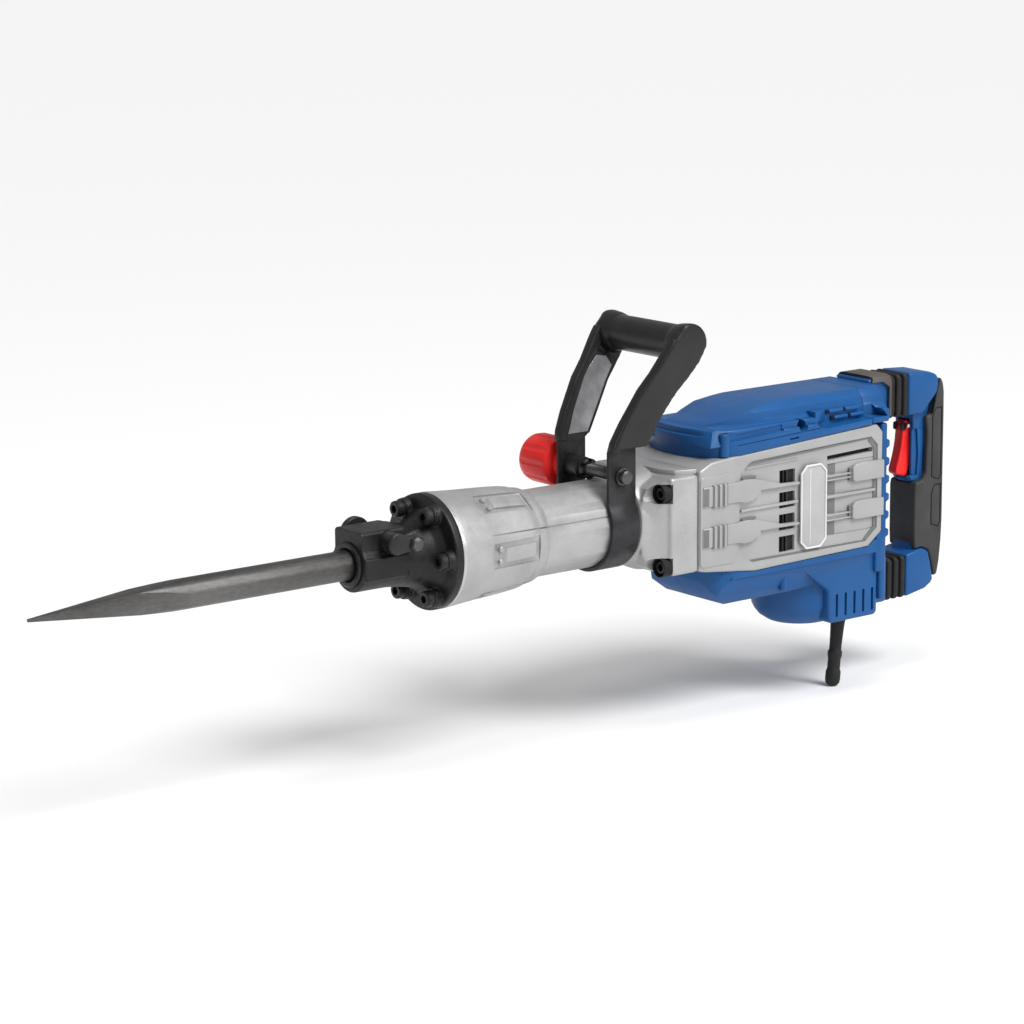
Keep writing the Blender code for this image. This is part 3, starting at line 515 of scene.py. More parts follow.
def barrel():
    skin = [(57, .2), (57, 6), (56.4, 12), (55, 30), (53.4, 60), (52.4, 76), (51.2, 90),
            (50.2, 96), (48.4, 99.5), (48.2, 103), (47.6, 108), (46.2, 111.6), (43.9, 113.4),
            (43.5, 116), (43.5, 228)]
    body = turned("barrel", "X", HAMMER_AXIS, [(0, .2)] + skin + [(0, 228)], 160)
    wide = plate("flat_cutter", [(114, 42.6), (206, 42.6), (206, 60), (114, 60)], "XZ", -9, 9)
    flats = [tilt(copy_of(wide, "neck_flat"), turn, "X", HAMMER_AXIS) for turn in range(36, 360, 36)]
    cut(body, wide, *flats)
    for turn in PAD_TURNS:
        pad = plate("pad", [(34, 56), (42, 50.9), (92, 47.2), (99, 46.6), (99, 70), (34, 70)],
                    "XZ", -12.5, 12.5)
        inner = plate("pad_island", [(50, 50), (54, 53.6), (92, 50.6), (97, 46), (97, 40), (50, 40)],
                      "XZ", -7, 7)
        cut(body, tilt(cut(pad, inner), turn, "X", HAMMER_AXIS))
    cut(body, rod("liner_bore", "X", HAMMER_AXIS, 32, 52, 240, 64),
        rod("bolt_bore", "X", HAMMER_AXIS, 24, -5, 60, 48))
    soften(body, .8, 2, 30)
    for turn in SEAM_TURNS:
        seam = plate("parting_groove", [(36, 54.4), (96, 48.6), (104, 46), (114, 41.6),
                     (212, 41.4), (212, 70), (36, 70)], "XZ", -.7, .7)
        cut(body, tilt(seam, turn, "X", HAMMER_AXIS))
    bosses = []
    for turn in PAD_TURNS:
        for x, y, r in ((48, 6, 3), (48, -6, 2.6), (56, 0, 2)):
            bosses.append(tilt(rod("boss", "Z", (x, y, 0), r, 48, 53.6 - (x - 48) * .06, 24, .7),
                               turn, "X", HAMMER_AXIS))
    join(body, *bosses)
    fit(body, cast_silver, "hammer", "barrel", angle=30)
    ring = turned("barrel_joint_ring", "X", HAMMER_AXIS,
                  [(55, .0), (57.0, .4), (57.05, 3.6), (56.6, 4.2), (55, 4.2), (55, .0)], 128)
    fit(ring, machined_silver, "hammer")


nose()
chisel()
retainer()
barrel()


# ---- gear case and motor housing ------------------------------------------------------------
CASE_BOLTS = [(side * 52, z) for side in (-1, 1) for z in (31, -44)]


def gear_case():
    case = block("gear_case", (253, -62, -53), (289.8, 62, 47), 3.5, 3)
    select_only()
    bpy.ops.mesh.primitive_circle_add(vertices=64, radius=46.3 * MM, fill_type="NOTHING",
                                      location=at(228.3, 0, 0), rotation=(0, PI / 2, 0))
    neck = settle(named("gear_case_neck"))
    open_edit(neck)
    for length, wide in ((10, 1.06), (18, 1.17)):
        bpy.ops.mesh.extrude_region_move(TRANSFORM_OT_translate={"value": (length * MM, 0, 0)})
        bpy.ops.transform.resize(value=(1, wide, wide * .985), center_override=at(240, 0, -1))
    bpy.ops.mesh.select_all(action="SELECT")
    bpy.ops.mesh.fill_holes(sides=0)
    bpy.ops.mesh.normals_make_consistent(inside=False)
    close_edit()
    shoulders = []
    for side in (-1, 1):
        low, high = span(side, 20, 60)
        shoulder = plate("gear_case_shoulder", [(231, -30), (238, -44), (254, -52), (262, -52),
                         (262, 45), (254, 45), (238, 36), (231, 24)], "XZ", low, high)
        wedge = plate("shoulder_wedge", [(225, side * 44), (232, side * 44), (258, side * 61),
                      (258, side * 80), (225, side * 80)], "XY", -70, 70)
        shoulders.append(cut(shoulder, wedge))
    add(case, neck, *shoulders)
    cast(case, 1.25, 5)
    tools = []
    for y, z in CASE_BOLTS:
        tools.append(rod("bolt_pocket", "X", (0, y, z), 9.8, 215, 256, 40))
        out = 1 if y > 0 else -1
        a, b = sorted((y, y + out * 14))
        tools.append(block("pocket_mouth", (215, a, z - 9.8), (256, b, z + 9.8)))
    for tool in tools:
        cut(case, tool)
    soften(case, .5, 2, 50)
    cut(case, rod("case_passage", "X", HAMMER_AXIS, 33, 220, 300, 48))
    fit(case, cast_silver, "hammer", "gear_case", angle=40)
    for i, (y, z) in enumerate(CASE_BOLTS):
        fit(socket_bolt(f"case_bolt_{i + 1}", 256, y, z, 304, 6.9, 8.5), dark_steel, "hammer",
            f"case_bolt_{i + 1}")
        # painted shade: a black lining disc in each bolt pocket
        fit(turned(f"bolt_pocket_{i + 1}", "X", (0, y, z), [(6, 256.2), (9.7, 256.2), (9.7, 245.5),
                   (9.2, 245.5), (9.0, 255.4), (6, 255.6), (6, 256.2)], 40), painted_shade_black, "hammer")
    deck = plate("gear_case_deck", [(290, -58), (268, -50), (262, -36), (260, 0), (262, 36),
                 (268, 50), (290, 58)], "XY", 46.6, 52, 1.2)
    fit(deck, cast_silver, "hammer")


def side_panel(side):
    """The latches, ribs, clips and label plate on one side of the case's recessed panel."""
    name = "left" if side < 0 else "right"

    def bar(piece, outline, depth, height, edge=.6, finish=silver_paint, steps=2):
        low, high = span(side, 62 - depth, 62 + height)
        strip = plate(f"{piece}_{name}", outline, "XZ", low, high, edge, steps)
        return fit(strip, finish, "hammer")

    def strip(piece, x0, z0, x1, z1, depth, height, edge=.6, finish=silver_paint):
        return bar(piece, [(x0, z0), (x1, z0), (x1, z1), (x0, z1)], depth, height, edge, finish)

    base = rounded_box(291.2, -50, 338, 43, 5)
    bar("latch_base", base, 2, 1.0, .9, steps=3)
    for i, z in enumerate((22, -20)):
        finger = [(294, z - 10), (340, z - 10), (350, z - 12), (360, z - 11), (371, z - 5.5),
                  (371, z - 1.5), (400, z - 2), (424, z - 2.5), (424, z + .5), (400, z + 1.5),
                  (372, z + 9), (360, z + 11.5), (350, z + 12), (340, z + 10.5), (294, z + 10.5)]
        bar(f"latch_{i + 1}", finger, 2.5, 2.6, .9, steps=3)
        # painted shade: darker silver pads at the latch's front end and under its ridges
        strip(f"latch_pad_{i + 1}", 294.5, z - 9, 301, z + 9.5, 0, 2.9, .4, painted_shade_silver)
        strip(f"latch_root_{i + 1}", 305.6, z - 11, 326, z + 11.4, 0, 2.9, .3, painted_shade_silver)
        for j, x in enumerate((307, 313.6, 320.2)):
            strip(f"latch_ridge_{i + 1}_{j + 1}", x, z - 11.6, x + 4, z + 12, 0, 4.4, 1.4)
        strip(f"latch_shade_{i + 1}", 347, z + 11.6, 366, z + 14, 1, .3, .3, painted_shade_silver)
    strip("rib_middle_front", 346, .2, 424, 3.4, 2.5, .6, .9)
    bar("panel_shadow_top", [(355, 47), (526, 54.3), (526, 56.4), (356, 49.2)], 4, -1.4, 0, painted_shade_silver)
    bar("panel_shadow_foot", [(352, -52.8), (522, -54.6), (520, -52.4), (352, -50.8)], 4, -1.2, 0,
        painted_shade_silver)
    bar("panel_shadow_rear", [(526, 54.4), (535.3, 46), (535.3, -41), (521, -53), (518, -51),
        (531, -39.6), (531, 44.6), (523, 52)], 4, -1.3, 0, painted_shade_silver)
    bar("panel_ledge", [(352, 43.5), (424, 44.8), (424, 46.4), (356, 45.4)], 3, -.6, .5)
    strip("rib_rear", 464, -1.7, 533, 1.5, 2.5, .3, .9)
    for i, (low, high) in enumerate(((16.8, 18.6), (20.9, 22.7), (-25.6, -23.8), (-20.4, -18.6))):
        strip(f"rib_pair_{i + 1}", 464, low, 502, high, 2.5, .3, .7)
    for i, z in enumerate((21, -19)):
        clip = [(502, z - 9), (499, z - 6), (499, z + 5), (503, z + 9), (512, z + 10.5),
                (543.4, z + 9.5), (543.4, z - 9.5)]
        bar(f"clip_{i + 1}", clip, 2.5, 2.4, 1.1, steps=3)
        strip(f"clip_shade_{i + 1}", 495.5, z - 7, 499.2, z + 6, 2.4, .2, .5, painted_shade_silver)
    outline = [(426, 30), (434, 38), (454, 38), (462, 30), (462, -42), (454, -50), (434, -50),
               (426, -42)]
    inner = [(428, 29.2), (434.8, 36), (453.2, 36), (460, 29.2), (460, -41.2), (453.2, -48),
             (434.8, -48), (428, -41.2)]
    frame_low, frame_high = span(side, 62.3, 64.3)
    rim = plate(f"label_plate_{name}", outline, "XZ", frame_low, frame_high)
    cut(rim, plate("label_opening", inner, "XZ", side * 50, side * 70))
    fit(soften(rim, .5), plate_white, "hammer", f"label_plate_{name}")
    low, high = span(side, 60, 63.4)
    face = plate(f"label_face_{name}", inner, "XZ", low, high, .3)
    fit(face, plate_grey, "hammer")
    crease = plate(f"label_crease_{name}", [(438.6, -44), (439.8, -44), (439.8, 34), (438.6, 34)],
                   "XZ", *span(side, 63, 63.9), .3)
    fit(crease, plate_white, "hammer")


def motor_housing():
    outline = [(290.4, -53), (300, -55), (366, -63), (524, -60), (543, -46), (543, 60),
               (535, 68.5), (371, 60.5), (322, 58), (306, 56.4), (290.4, 49)]
    case = plate("motor_housing", outline, "XZ", -62, 62, 2.2, 3)
    for side in (-1, 1):
        def sunk(piece, shape, depth):
            low, high = span(side, 62 - depth, 75)
            return plate(piece, shape, "XZ", low, high)
        panel = [(345, 40), (356, 49), (362, 51.5), (526, 56.5), (535.5, 47), (535.5, -41),
                 (520, -54), (362, -53), (350, -46), (343, -38)]
        cut(case, sunk("panel_recess", panel, 2.2))
        for low, high in ((20.5, 36), (-3, 13), (-26, -10), (-49, -33)):
            window = [(400, low), (421, low), (421, high), (400, high)]
            cut(case, sunk("vent_window", window, 12))
        for low, high in ((22.7, 34.5), (1.5, 16.8), (-18.6, -1.7), (-41, -25.6)):
            bay = [(466, low), (532, low), (532, high), (466, high)]
            cut(case, sunk("rear_bay", bay, 4))
        cut(case, sunk("top_slot", [(466, 38), (530, 40), (530, 45), (466, 43)], 9))
    soften(case, .7, 2, 40)
    fit(case, silver_paint, "hammer", "motor_housing", angle=32)
    for side in (-1, 1):
        name = "left" if side < 0 else "right"
        low, high = span(side, 51, 57)
        for i, (bottom, top) in enumerate(((20.5, 36), (-3, 13), (-26, -10), (-49, -33))):
            # painted shade: black backs behind the vent windows
            back = block(f"vent_back_{name}_{i + 1}", (400.3, low, bottom + .3),
                         (420.7, high, top - .3), .4)
            fit(back, painted_shade_black, "hammer")
            a, b = span(side, 57, 59.2)
            # the first slat of each pair carries painted shade in black, the second is blackened steel
            for j, x in enumerate((404, 409)):
                slat = block(f"vent_slat_{name}_{i + 1}_{j + 1}", (x, a - .5, bottom + .4),
                             (x + 2.2, b, top - .4), .4)
                fit(slat, dark_steel if j else painted_shade_black, "hammer")
        for i, (bottom, top) in enumerate(((22.7, 34.5), (1.5, 16.8), (-18.6, -1.7),
                                           (-41, -25.6))):
            shape = [(466.2, side * 52), (531.8, side * 52), (531.8, side * 59.9),
                     (504, side * 59.7), (466.2, side * 57.6)]
            wedge = plate(f"bay_floor_{name}_{i + 1}", shape, "XY", bottom + .2, top - .2, .4)
            fit(wedge, silver_paint, "hammer")
            shape = [(466.3, side * 57), (478, side * 57.7), (478, side * 58.7),
                     (466.3, side * 57.9)]
            fit(plate(f"bay_shade_{name}_{i + 1}", shape, "XY", bottom + .4, top - .4),
                painted_shade_silver, "hammer")
        # painted shade: a black back in the top slot
        a, b = span(side, 50, 54)
        fit(block(f"slot_back_{name}", (466.5, a, 38.6), (529.5, b, 44.6), .3), painted_shade_black,
            "hammer")
        side_panel(side)


# ---- blue covers ----------------------------------------------------------------------------
def rim_plan(inset=0.0, rear=528.0, swell=0.0):
    side = 62 - inset + swell
    front = [(345, side), (333, side - 3), (322, side - 9), (314, side - 19), (308.5 + inset, side - 34),
             (306 + inset, side - 50)]
    return ([(rear, side)] + front + [(x, -y) for x, y in front[::-1]] + [(rear, -side)])


def crown_half(grow=0.0):
    half = [(57 + grow, 70), (50, 85), (45.5, 88), (43.4, 96), (41, 98.8), (36.4, 103.6), (34, 104.2)]
    return half + [(-y, z) for y, z in half[::-1]]


def top_cover():
    cover = plate("top_cover", rim_plan(), "XY", 54, 79, 1.6, 3)
    step = plate("top_step", rim_plan(4), "XY", 76, 85, 2.4, 3)
    crown = plate("top_crown", crown_half(), "YZ", 300, 528)
    slope = plate("slope_cutter", [(270, 130), (270, 70), (309, 70), (317, 84), (324, 87.6),
                  (338, 89.2), (352, 92.6), (372, 98), (392, 101.8), (405, 103.4), (418, 104.3),
                  (420, 130)], "XZ", -80, 80)
    cut(crown, slope)
    for side in (-1, 1):
        nose_cut = plate("nose_cutter", [(290, side * 12), (316, side * 24), (350, side * 37),
                         (385, side * 44.5), (420, side * 47.5), (420, side * 90),
                         (290, side * 90)], "XY", 86.4, 130)
        cut(crown, nose_cut)
    soften(crown, 2.0, 3, 25)
    add(cover, step, crown)
    line = plate("lower_line", [(280, 30), (540, 30), (540, 70), (528, 69.3), (371, 60.8),
                 (322, 58.3), (306, 56.8), (280, 54)], "XZ", -90, 90)
    cut(cover, line)
    cut(cover, plate("seam_groove", [(526.9, -80), (530, -80), (530, 80), (526.9, 80)], "XY", 108,
                     109))
    for side in (-1, 1):
        def side_cut(piece, shape, start, end):
            low, high = span(side, start, end)
            return plate(piece, shape, "XZ", low, high)
        cut(cover, side_cut("bar_recess", [(330, 73.6), (404, 77.5), (404, 83.6), (330, 79.6)],
                            56.8, 70))
        cut(cover, side_cut("ledge_groove", [(330, 68.6), (520, 76.4), (520, 77.4), (330, 69.6)],
                            60.9, 70))
        cut(cover, side_cut("edge_slot", [(412, 66.6), (424, 67.2), (424, 69), (412, 68.4)],
                            58, 70))
        vent = [(450, 77), (462, 72.4), (530, 75.2), (530, 91.5), (482, 93), (464, 91.5)]
        cut(cover, side_cut("vent_recess", vent, 46.5, 80))
        cut(cover, rod("screw_well", "Y", (431, 0, 79), 6.2, *span(side, 46, 80), 32))
    soften(cover, .55, 2, 38)
    fit(cover, blue_shell, "hammer", "top_cover", angle=34)
    for side in (-1, 1):
        name = "left" if side < 0 else "right"

        def ride_on(piece, finish=blue_shell, angle=34):
            return fit(piece, finish, "hammer", angle=angle)

        slope = plate(f"vent_slope_{name}", [(450.4, side * 58), (450.4, side * 44),
                      (474, side * 44), (474, side * 47)], "XY", 78, 90.4, .4)
        ride_on(slope)
        for row, (z, start) in enumerate(((77.4, 484), (84.6, 477))):
            for i in range(2):
                x = start + 23 * i
                c, d = span(side, 45, 50.6)
                end = min(x + 20, 526.6)
                ride_on(block(f"cover_louvre_{name}_{row + 1}_{i + 1}", (x, c, z), (end, d, z + 4.6),
                              1.9, 4))
                # painted shade: a black strip in the gap before each louvre
                c, d = span(side, 45, 48.6)
                ride_on(block(f"louvre_gap_{name}_{row + 1}_{i + 1}", (x - 2.8, c, z - .2),
                              (x - .4, d, z + 3.8), .4), painted_shade_black)
        screw = rod(f"cover_screw_{name}", "Y", (431, 0, 79), 5,
                    *span(side, 46.2, 50), 32, .6)
        ride_on(cut(screw, hex_socket(2.4, 6, (431, side * 51, 79), ALONG_Y)), dark_steel)
        post = rod(f"corner_post_{name}", "Z", (328, side * 56, 0), 5.4, 58.8, 82.5, 40, 1.2)
        cut(post, rod("post_hole", "Z", (328, side * 56, 0), 3, 78, 90, 24))
        ride_on(post)
        ride_on(rod(f"corner_screw_{name}", "Z", (328, side * 56, 0), 2.8, 76, 79.4, 24, .4),
                dark_steel)


def bottom_cover():
    top = plate("bottom_cover", rim_plan(1.2, 542.6), "XY", -68, -54.4)
    tray = plate("tray", [(310, 26), (316, 44), (327, 55), (340, 58.5), (542.6, 58.5),
                          (542.6, -58.5), (340, -58.5), (327, -55), (316, -44), (310, -26)],
                 "XY", -97, -60)
    under = plate("tray_cutter", [(280, -62), (309, -62), (313, -72), (322, -84), (338, -97.2),
                  (338, -120), (280, -120)], "XZ", -90, 90)
    cut(tray, under)
    for side in (-1, 1):
        cut(tray, plate("flank_cutter", [(side * 59, -69), (side * 44, -99), (side * 90, -99),
                        (side * 90, -69)], "YZ", 280, 560))
    soften(tray, 2.2, 3, 30)
    add(top, tray)
    line = plate("upper_line", [(280, -40), (560, -40), (560, -47), (543.4, -46.6), (524.3, -60.3),
                 (366, -63.4), (300, -55.4), (280, -53)], "XZ", -90, 90)
    cut(top, line)
    bowl = turned("bowl", "Z", (482, 0, 0),
                  [(0, -90), (50, -90), (50, -119), (49, -124), (46.5, -129), (42, -134.6),
                   (36, -138.6), (30, -139.9), (0, -139.9)], 96)
    outlet = plate("cord_block", [(430, -69), (473, -101), (473, -133), (476.5, -136.6),
                   (539, -136.6), (542.4, -133), (542.4, -69)], "XZ", -57, 57)
    soften(outlet, 2.6, 4, 30)
    for i in range(5):
        x = 483 + 12.6 * i
        for side in (-1, 1):
            low, high = span(side, 53.4, 70)
            cut(outlet, block("drain_slot", (x, low, -131), (x + 3.2, high, -106), 1.4))
    add(top, bowl, outlet)
    soften(top, .6, 2, 34)
    fit(top, blue_shell, "hammer", "bottom_cover", angle=34)
    for side in (-1, 1):
        name = "left" if side < 0 else "right"
        stud = rod(f"tray_stud_{name}", "Z", (414, side * 51, 0), 4.2, -93, -76, 32, 1.4)
        fit(stud, blue_shell, "hammer")
        lip = plate(f"tray_lip_{name}", [(336, -66), (470, -66.5), (542, -64), (542, -66.4),
                    (470, -69), (336, -68.5)], "XZ", *span(side, 55, 60.0), .8, 2)
        fit(lip, blue_shell, "hammer")
    foot = turned("base_ring", "Z", (482, 0, 0), [(29, -138), (31, -140), (33.5, -140), (35.5, -137),
                  (29, -137), (29, -138)], 64)
    fit(foot, blue_shell, "hammer")


def rear_cover():
    wall = block("rear_cover", (543.4, -60, -121), (552, 60, 68), 2.6, 3)
    crown = plate("rear_crown", crown_half(), "YZ", 528.4, 558.6)
    soften(crown, 2, 3, 25)
    slab = block("rear_shoulder", (528.4, -62, 69.6), (552, 62, 84), 2, 3)
    skirt = block("rear_skirt", (536, -61, -90), (550, 61, -47), 2, 3)
    line = plate("corner_line", [(520, 66), (535.3, 69), (543.4, 60.5), (543.4, 40), (520, 40)],
                 "XZ", -90, 90)
    upper = block("upper_stub", (556.6, -25, 62), (588, 25, 108), 3, 4)
    lower = block("lower_stub", (546, -25, -136), (588, 25, -84), 4, 4)
    cut(slab, line)
    low_line = plate("lower_corner", [(520, -30), (543.4, -30), (543.4, -46.6), (530, -56),
                     (530, -62), (536, -100), (520, -100)], "XZ", -90, 90)
    cut(skirt, low_line)
    add(wall, crown, slab, upper, lower)
    for side in (-1, 1):
        low, high = span(side, 46.5, 80)
        cut(wall, plate("vent_end", [(520, 75.2), (549, 76), (538, 90), (520, 91.4)], "XZ", low, high))
    teeth = []
    for i in range(6):
        z = 52 - 19 * i
        for side in (-1, 1):
            low, high = span(side, 47, 60.4)
            teeth.append(plate("edge_tooth", [(549, z), (554.6, z - 3), (554.6, z - 9), (549, z - 12)],
                               "XZ", low, high, .8))
    add(wall, *teeth)
    cut(wall, block("upper_hollow", (556, -20, 67), (600, 20, 103)),
        block("lower_hollow", (556, -20, -131), (600, 20, -90)))
    soften(wall, .6, 2, 38)
    add(wall, rod("upper_post", "X", (0, 0, 85), 5, 548, 596, 24, .8),
        rod("lower_post", "X", (0, 0, -113), 5, 548, 596, 24, .8))
    fit(wall, blue_shell, "hammer", "rear_cover", angle=34)
    fit(soften(skirt, .5, 2, 38), blue_shell, "hammer")
    for i, (y, z) in enumerate(((-46, 20), (46, 20), (-46, -60), (46, -60))):
        screw = rod(f"rear_screw_{i + 1}", "X", (0, y, z), 4, 550, 554.4, 32, .6)
        fit(cut(screw, hex_socket(2.2, 5, (555, y, z), ALONG_X)), dark_steel, "hammer")


gear_case()
motor_housing()
top_cover()
bottom_cover()
rear_cover()


# ---- turning side handle --------------------------------------------------------------------
def spread(piece, start=80.0, lean=0.168, top=99.0):
    """Lean a leg outwards above its foot, moving its points level by level."""
    levels = {}
    for vertex in piece.data.vertices:
        height = (vertex.co.z - TOOL.z) / MM - start
        if height > 0:
            side = 1 if vertex.co.y > 0 else -1
            levels.setdefault((side, round(height, 3)), []).append(vertex.index)
    for (side, height), points in levels.items():
        open_edit(piece)
        bpy.ops.mesh.select_mode(type="VERT")
        bpy.ops.mesh.select_all(action="DESELECT")
        close_edit()
        for index in points:
            piece.data.vertices[index].select = True
        bpy.ops.object.mode_set(mode="EDIT")
        bpy.ops.transform.translate(value=(0, side * min(height, top) * lean * MM, 0))
        close_edit()
    return piece


def slice_across(piece, heights):
    """Level cuts that let the leg be bent outwards between them."""
    for height in heights:
        open_edit(piece)
        bpy.ops.mesh.bisect(plane_co=at(0, 0, height), plane_no=(0, 0, 1))
        close_edit()


STRAP_ARC_IN = arc(0, 0, 44, 149, 391, 40)
STRAP_ARC_OUT = arc(0, 0, 48.2, 391, 149, 40)
LEG_INNER, LEG_OUTER = 44 * math.cos(math.radians(31)), 48.2 * math.cos(math.radians(31))


def clamp_strap():
    outline = ([(-LEG_INNER, 79)] + STRAP_ARC_IN + [(LEG_INNER, 79), (LEG_OUTER, 79)]
               + STRAP_ARC_OUT + [(-LEG_OUTER, 79)])
    strap = plate("clamp_strap", outline, "YZ", 190, 225)
    cut(strap, rod("clamp_hole", "Y", CLAMP_AXIS, 5.4, -60, 60, 32))
    soften(strap, .9, 2, 40)
    legs = []
    for side in (-1, 1):
        leg = [(194, 78), (224, 78), (232, 84), (246, 106), (262, 132), (274, 146), (268, 158),
               (250, 162), (224, 137), (213, 120), (204, 104), (195, 84)]
        low, high = span(side, LEG_INNER, LEG_OUTER)
        leg = plate(f"strap_leg_{side}", leg, "XZ", low, high)
        slice_across(leg, range(90, 160, 10))
        legs.append(soften(spread(leg), .8, 2, 40))
    join(strap, *legs)
    fit(strap, dark_steel, "bail", "clamp_strap", angle=38)
    for side in (-1, 1):
        name = "left" if side < 0 else "right"
        inner = plate(f"strap_lining_{name}", [(199, 84), (228, 84), (243, 108), (258, 132),
                      (268, 146), (262, 156), (250, 158), (227, 136), (216, 119), (208, 104)],
                      "XZ", *span(side, LEG_INNER - .5, LEG_INNER + .3))
        slice_across(inner, range(96, 156, 12))
        fit(soften(spread(inner), .2, 1, 40), plated_steel, "bail")


def bail_grip():
    arm = flow([(235, 80), (241, 93), (250.5, 110), (264.5, 130), (280, 146.5), (291, 160)])
    arm += arc(277, 179, 21.2, -14, 112, 16)
    arm += flow([(257, 185), (247, 171.5), (234, 153.5), (221.5, 137.5), (211, 121), (202, 104),
                 (196, 90), (192, 80)])
    grip = rod("bail_grip", "Y", BAR_AXIS, 18, -62, 62, 64)
    for side in (-1, 1):
        low, high = span(side, LEG_OUTER + .9, LEG_OUTER + 6.7)
        sleeve = plate("sleeve", arm, "XZ", low, high)
        lip = plate("sleeve_lip", [(191, 78.5), (201, 78.5), (213, 106), (231, 138), (262, 176),
                    (270, 190), (256, 186), (247, 173), (234, 154), (221, 138.6), (211, 121.6),
                    (202, 106.6), (193, 88)], "XZ", *span(side, LEG_INNER - .8, LEG_OUTER + 5))
        for part in (sleeve, lip):
            slice_across(part, range(90, 200, 10))
            spread(part)
        add(grip, sleeve)
        collar = turned("grip_collar", "Y", BAR_AXIS,
                        [(0, side * 45), (18.2, side * 45), (19.6, side * 47), (20.6, side * 54),
                         (20.9, side * 60), (0, side * 60), (0, side * 45)], 64)
        add(grip, collar)
        fit(soften(lip, .8, 2, 40), black_plastic, "bail")
    cast(grip, 1.3, 14)
    fit(grip, black_plastic, "bail", "bail_grip", angle=60)


def clamp_screw():
    start = LEG_OUTER + .3
    bolt = turned("clamp_bolt", "Y", CLAMP_AXIS,
                  [(0, -start - 9.2), (5.6, -start - 9.2), (6.9, -start - 8.4), (7.2, -start - 7),
                   (7.2, -start - 1.8), (8.6, -start - 1.6), (8.6, -start), (5, -start), (5, 80),
                   (0, 80)], 48)
    turns = []
    for i in range(14):
        y = -34 + 3.2 * i
        turns.append(turned("thread", "Y", CLAMP_AXIS, [(4.6, y), (6.4, y + 1.4),
                     (6.4, y + 1.9), (4.6, y + 3), (4.6, y)], 32))
    fit(join(bolt, *turns), forged_steel, "bail", "clamp_bolt")
    tube = turned("spacer_tube", "Y", CLAMP_AXIS,
                  [(6.2, 8), (9.4, 8), (10.4, 9), (10.4, 14), (8.6, 15), (8.6, 18), (11, 18.6),
                   (11, LEG_INNER - .4), (6.2, LEG_INNER - .4), (6.2, 8)], 48)
    slots = []
    for i in range(6):
        slots.append(tilt(block("ring_slot", (205, 5, 59.5), (209, 13, 68)), 60 * i, "Y",
                          CLAMP_AXIS))
    cut(tube, join(*slots))
    fit(soften(tube, .3, 1, 50), dark_steel, "bail", "spacer_tube")


def clamp_knob():
    knob = turned("clamp_knob", "Y", CLAMP_AXIS,
                  [(5.5, LEG_OUTER + .4), (14, LEG_OUTER + .4), (15, LEG_OUTER + 1.6), (15, 50),
                   (21, 51), (24, 53), (25.4, 57), (25.5, 86), (24.2, 92.6), (20.5, 97),
                   (14, 98.8), (8, 98.6), (6.5, 97), (0, 96.6), (0, 82), (5.5, 81),
                   (5.5, LEG_OUTER + .4)], 80)
    flutes = []
    for i in range(10):
        flute = rod("flute", "Y", (207, 0, 52.5 + 29.6), 5.6, 54, 110, 24)
        flutes.append(tilt(flute, 36 * i + 18, "Y", CLAMP_AXIS))
    for flute in flutes:
        cut(knob, flute)
    soften(knob, 1.1, 3, 35)
    fit(knob, red_plastic, "knob", "clamp_knob", angle=45)


# ---- sprung rear handle ---------------------------------------------------------------------
def handle_shell():
    upper = [(619, 62), (641, 62), (653, 74), (664, 84), (664, 97), (660, 102.5), (650, 106),
             (619, 108)]
    upper_core = [(619, 63), (634, 60.5), (655, 60.5), (658, 76), (663, 90), (619, 100)]
    lower = [(619, -136), (648, -131), (657, -126), (660, -122), (656, -104), (652, -90),
             (644, -86), (634, -87), (619, -90)]
    shell = soften(plate("handle_shell", upper, "XZ", -22, 22), 3, 4, 20)
    foot = soften(plate("lower_arm", lower, "XZ", -22, 22), 3, 4, 20)
    inner = plate("upper_core", upper_core, "XZ", -15, 15, 2, 3)
    gusset = plate("arm_gusset", [(634, 44), (650, 44), (657, 64), (657, 74), (632, 74)], "XZ",
                   -14, 14, 2, 3)
    heel = plate("lower_gusset", [(634, -74), (652, -74), (656, -100), (630, -100)], "XZ", -14, 14,
                 2, 3)
    core = block("grip_core", (634.4, -11, -14), (664, 11, 74), .6)
    add(shell, foot, inner, gusset, heel, core)
    cut(shell, block("trigger_slot", (600, -8.2, -9), (661, 8.2, 55)),
        rod("pin_hole", "Y", TRIGGER_AXIS, 2.35, -30, 30, 24),
        rod("upper_seat", "X", (0, 0, 85), 10, 600, 632, 40),
        rod("lower_seat", "X", (0, 0, -113), 10, 600, 632, 40))
    soften(shell, .5, 2, 40)
    fit(shell, blue_shell, "handle", "handle_shell", angle=34)
    for side in (-1, 1):
        name = "left" if side < 0 else "right"
        guard = plate(f"trigger_guard_{name}", [(638, 58), (649, 58), (650.4, 40), (648.6, -6),
                      (643, -13.5), (633, -12), (629, -6), (641, -7), (642.6, 16), (640.6, 40)],
                      "XZ", *span(side, 8.4, 13.5), .9, 3)
        fit(guard, blue_shell, "handle")


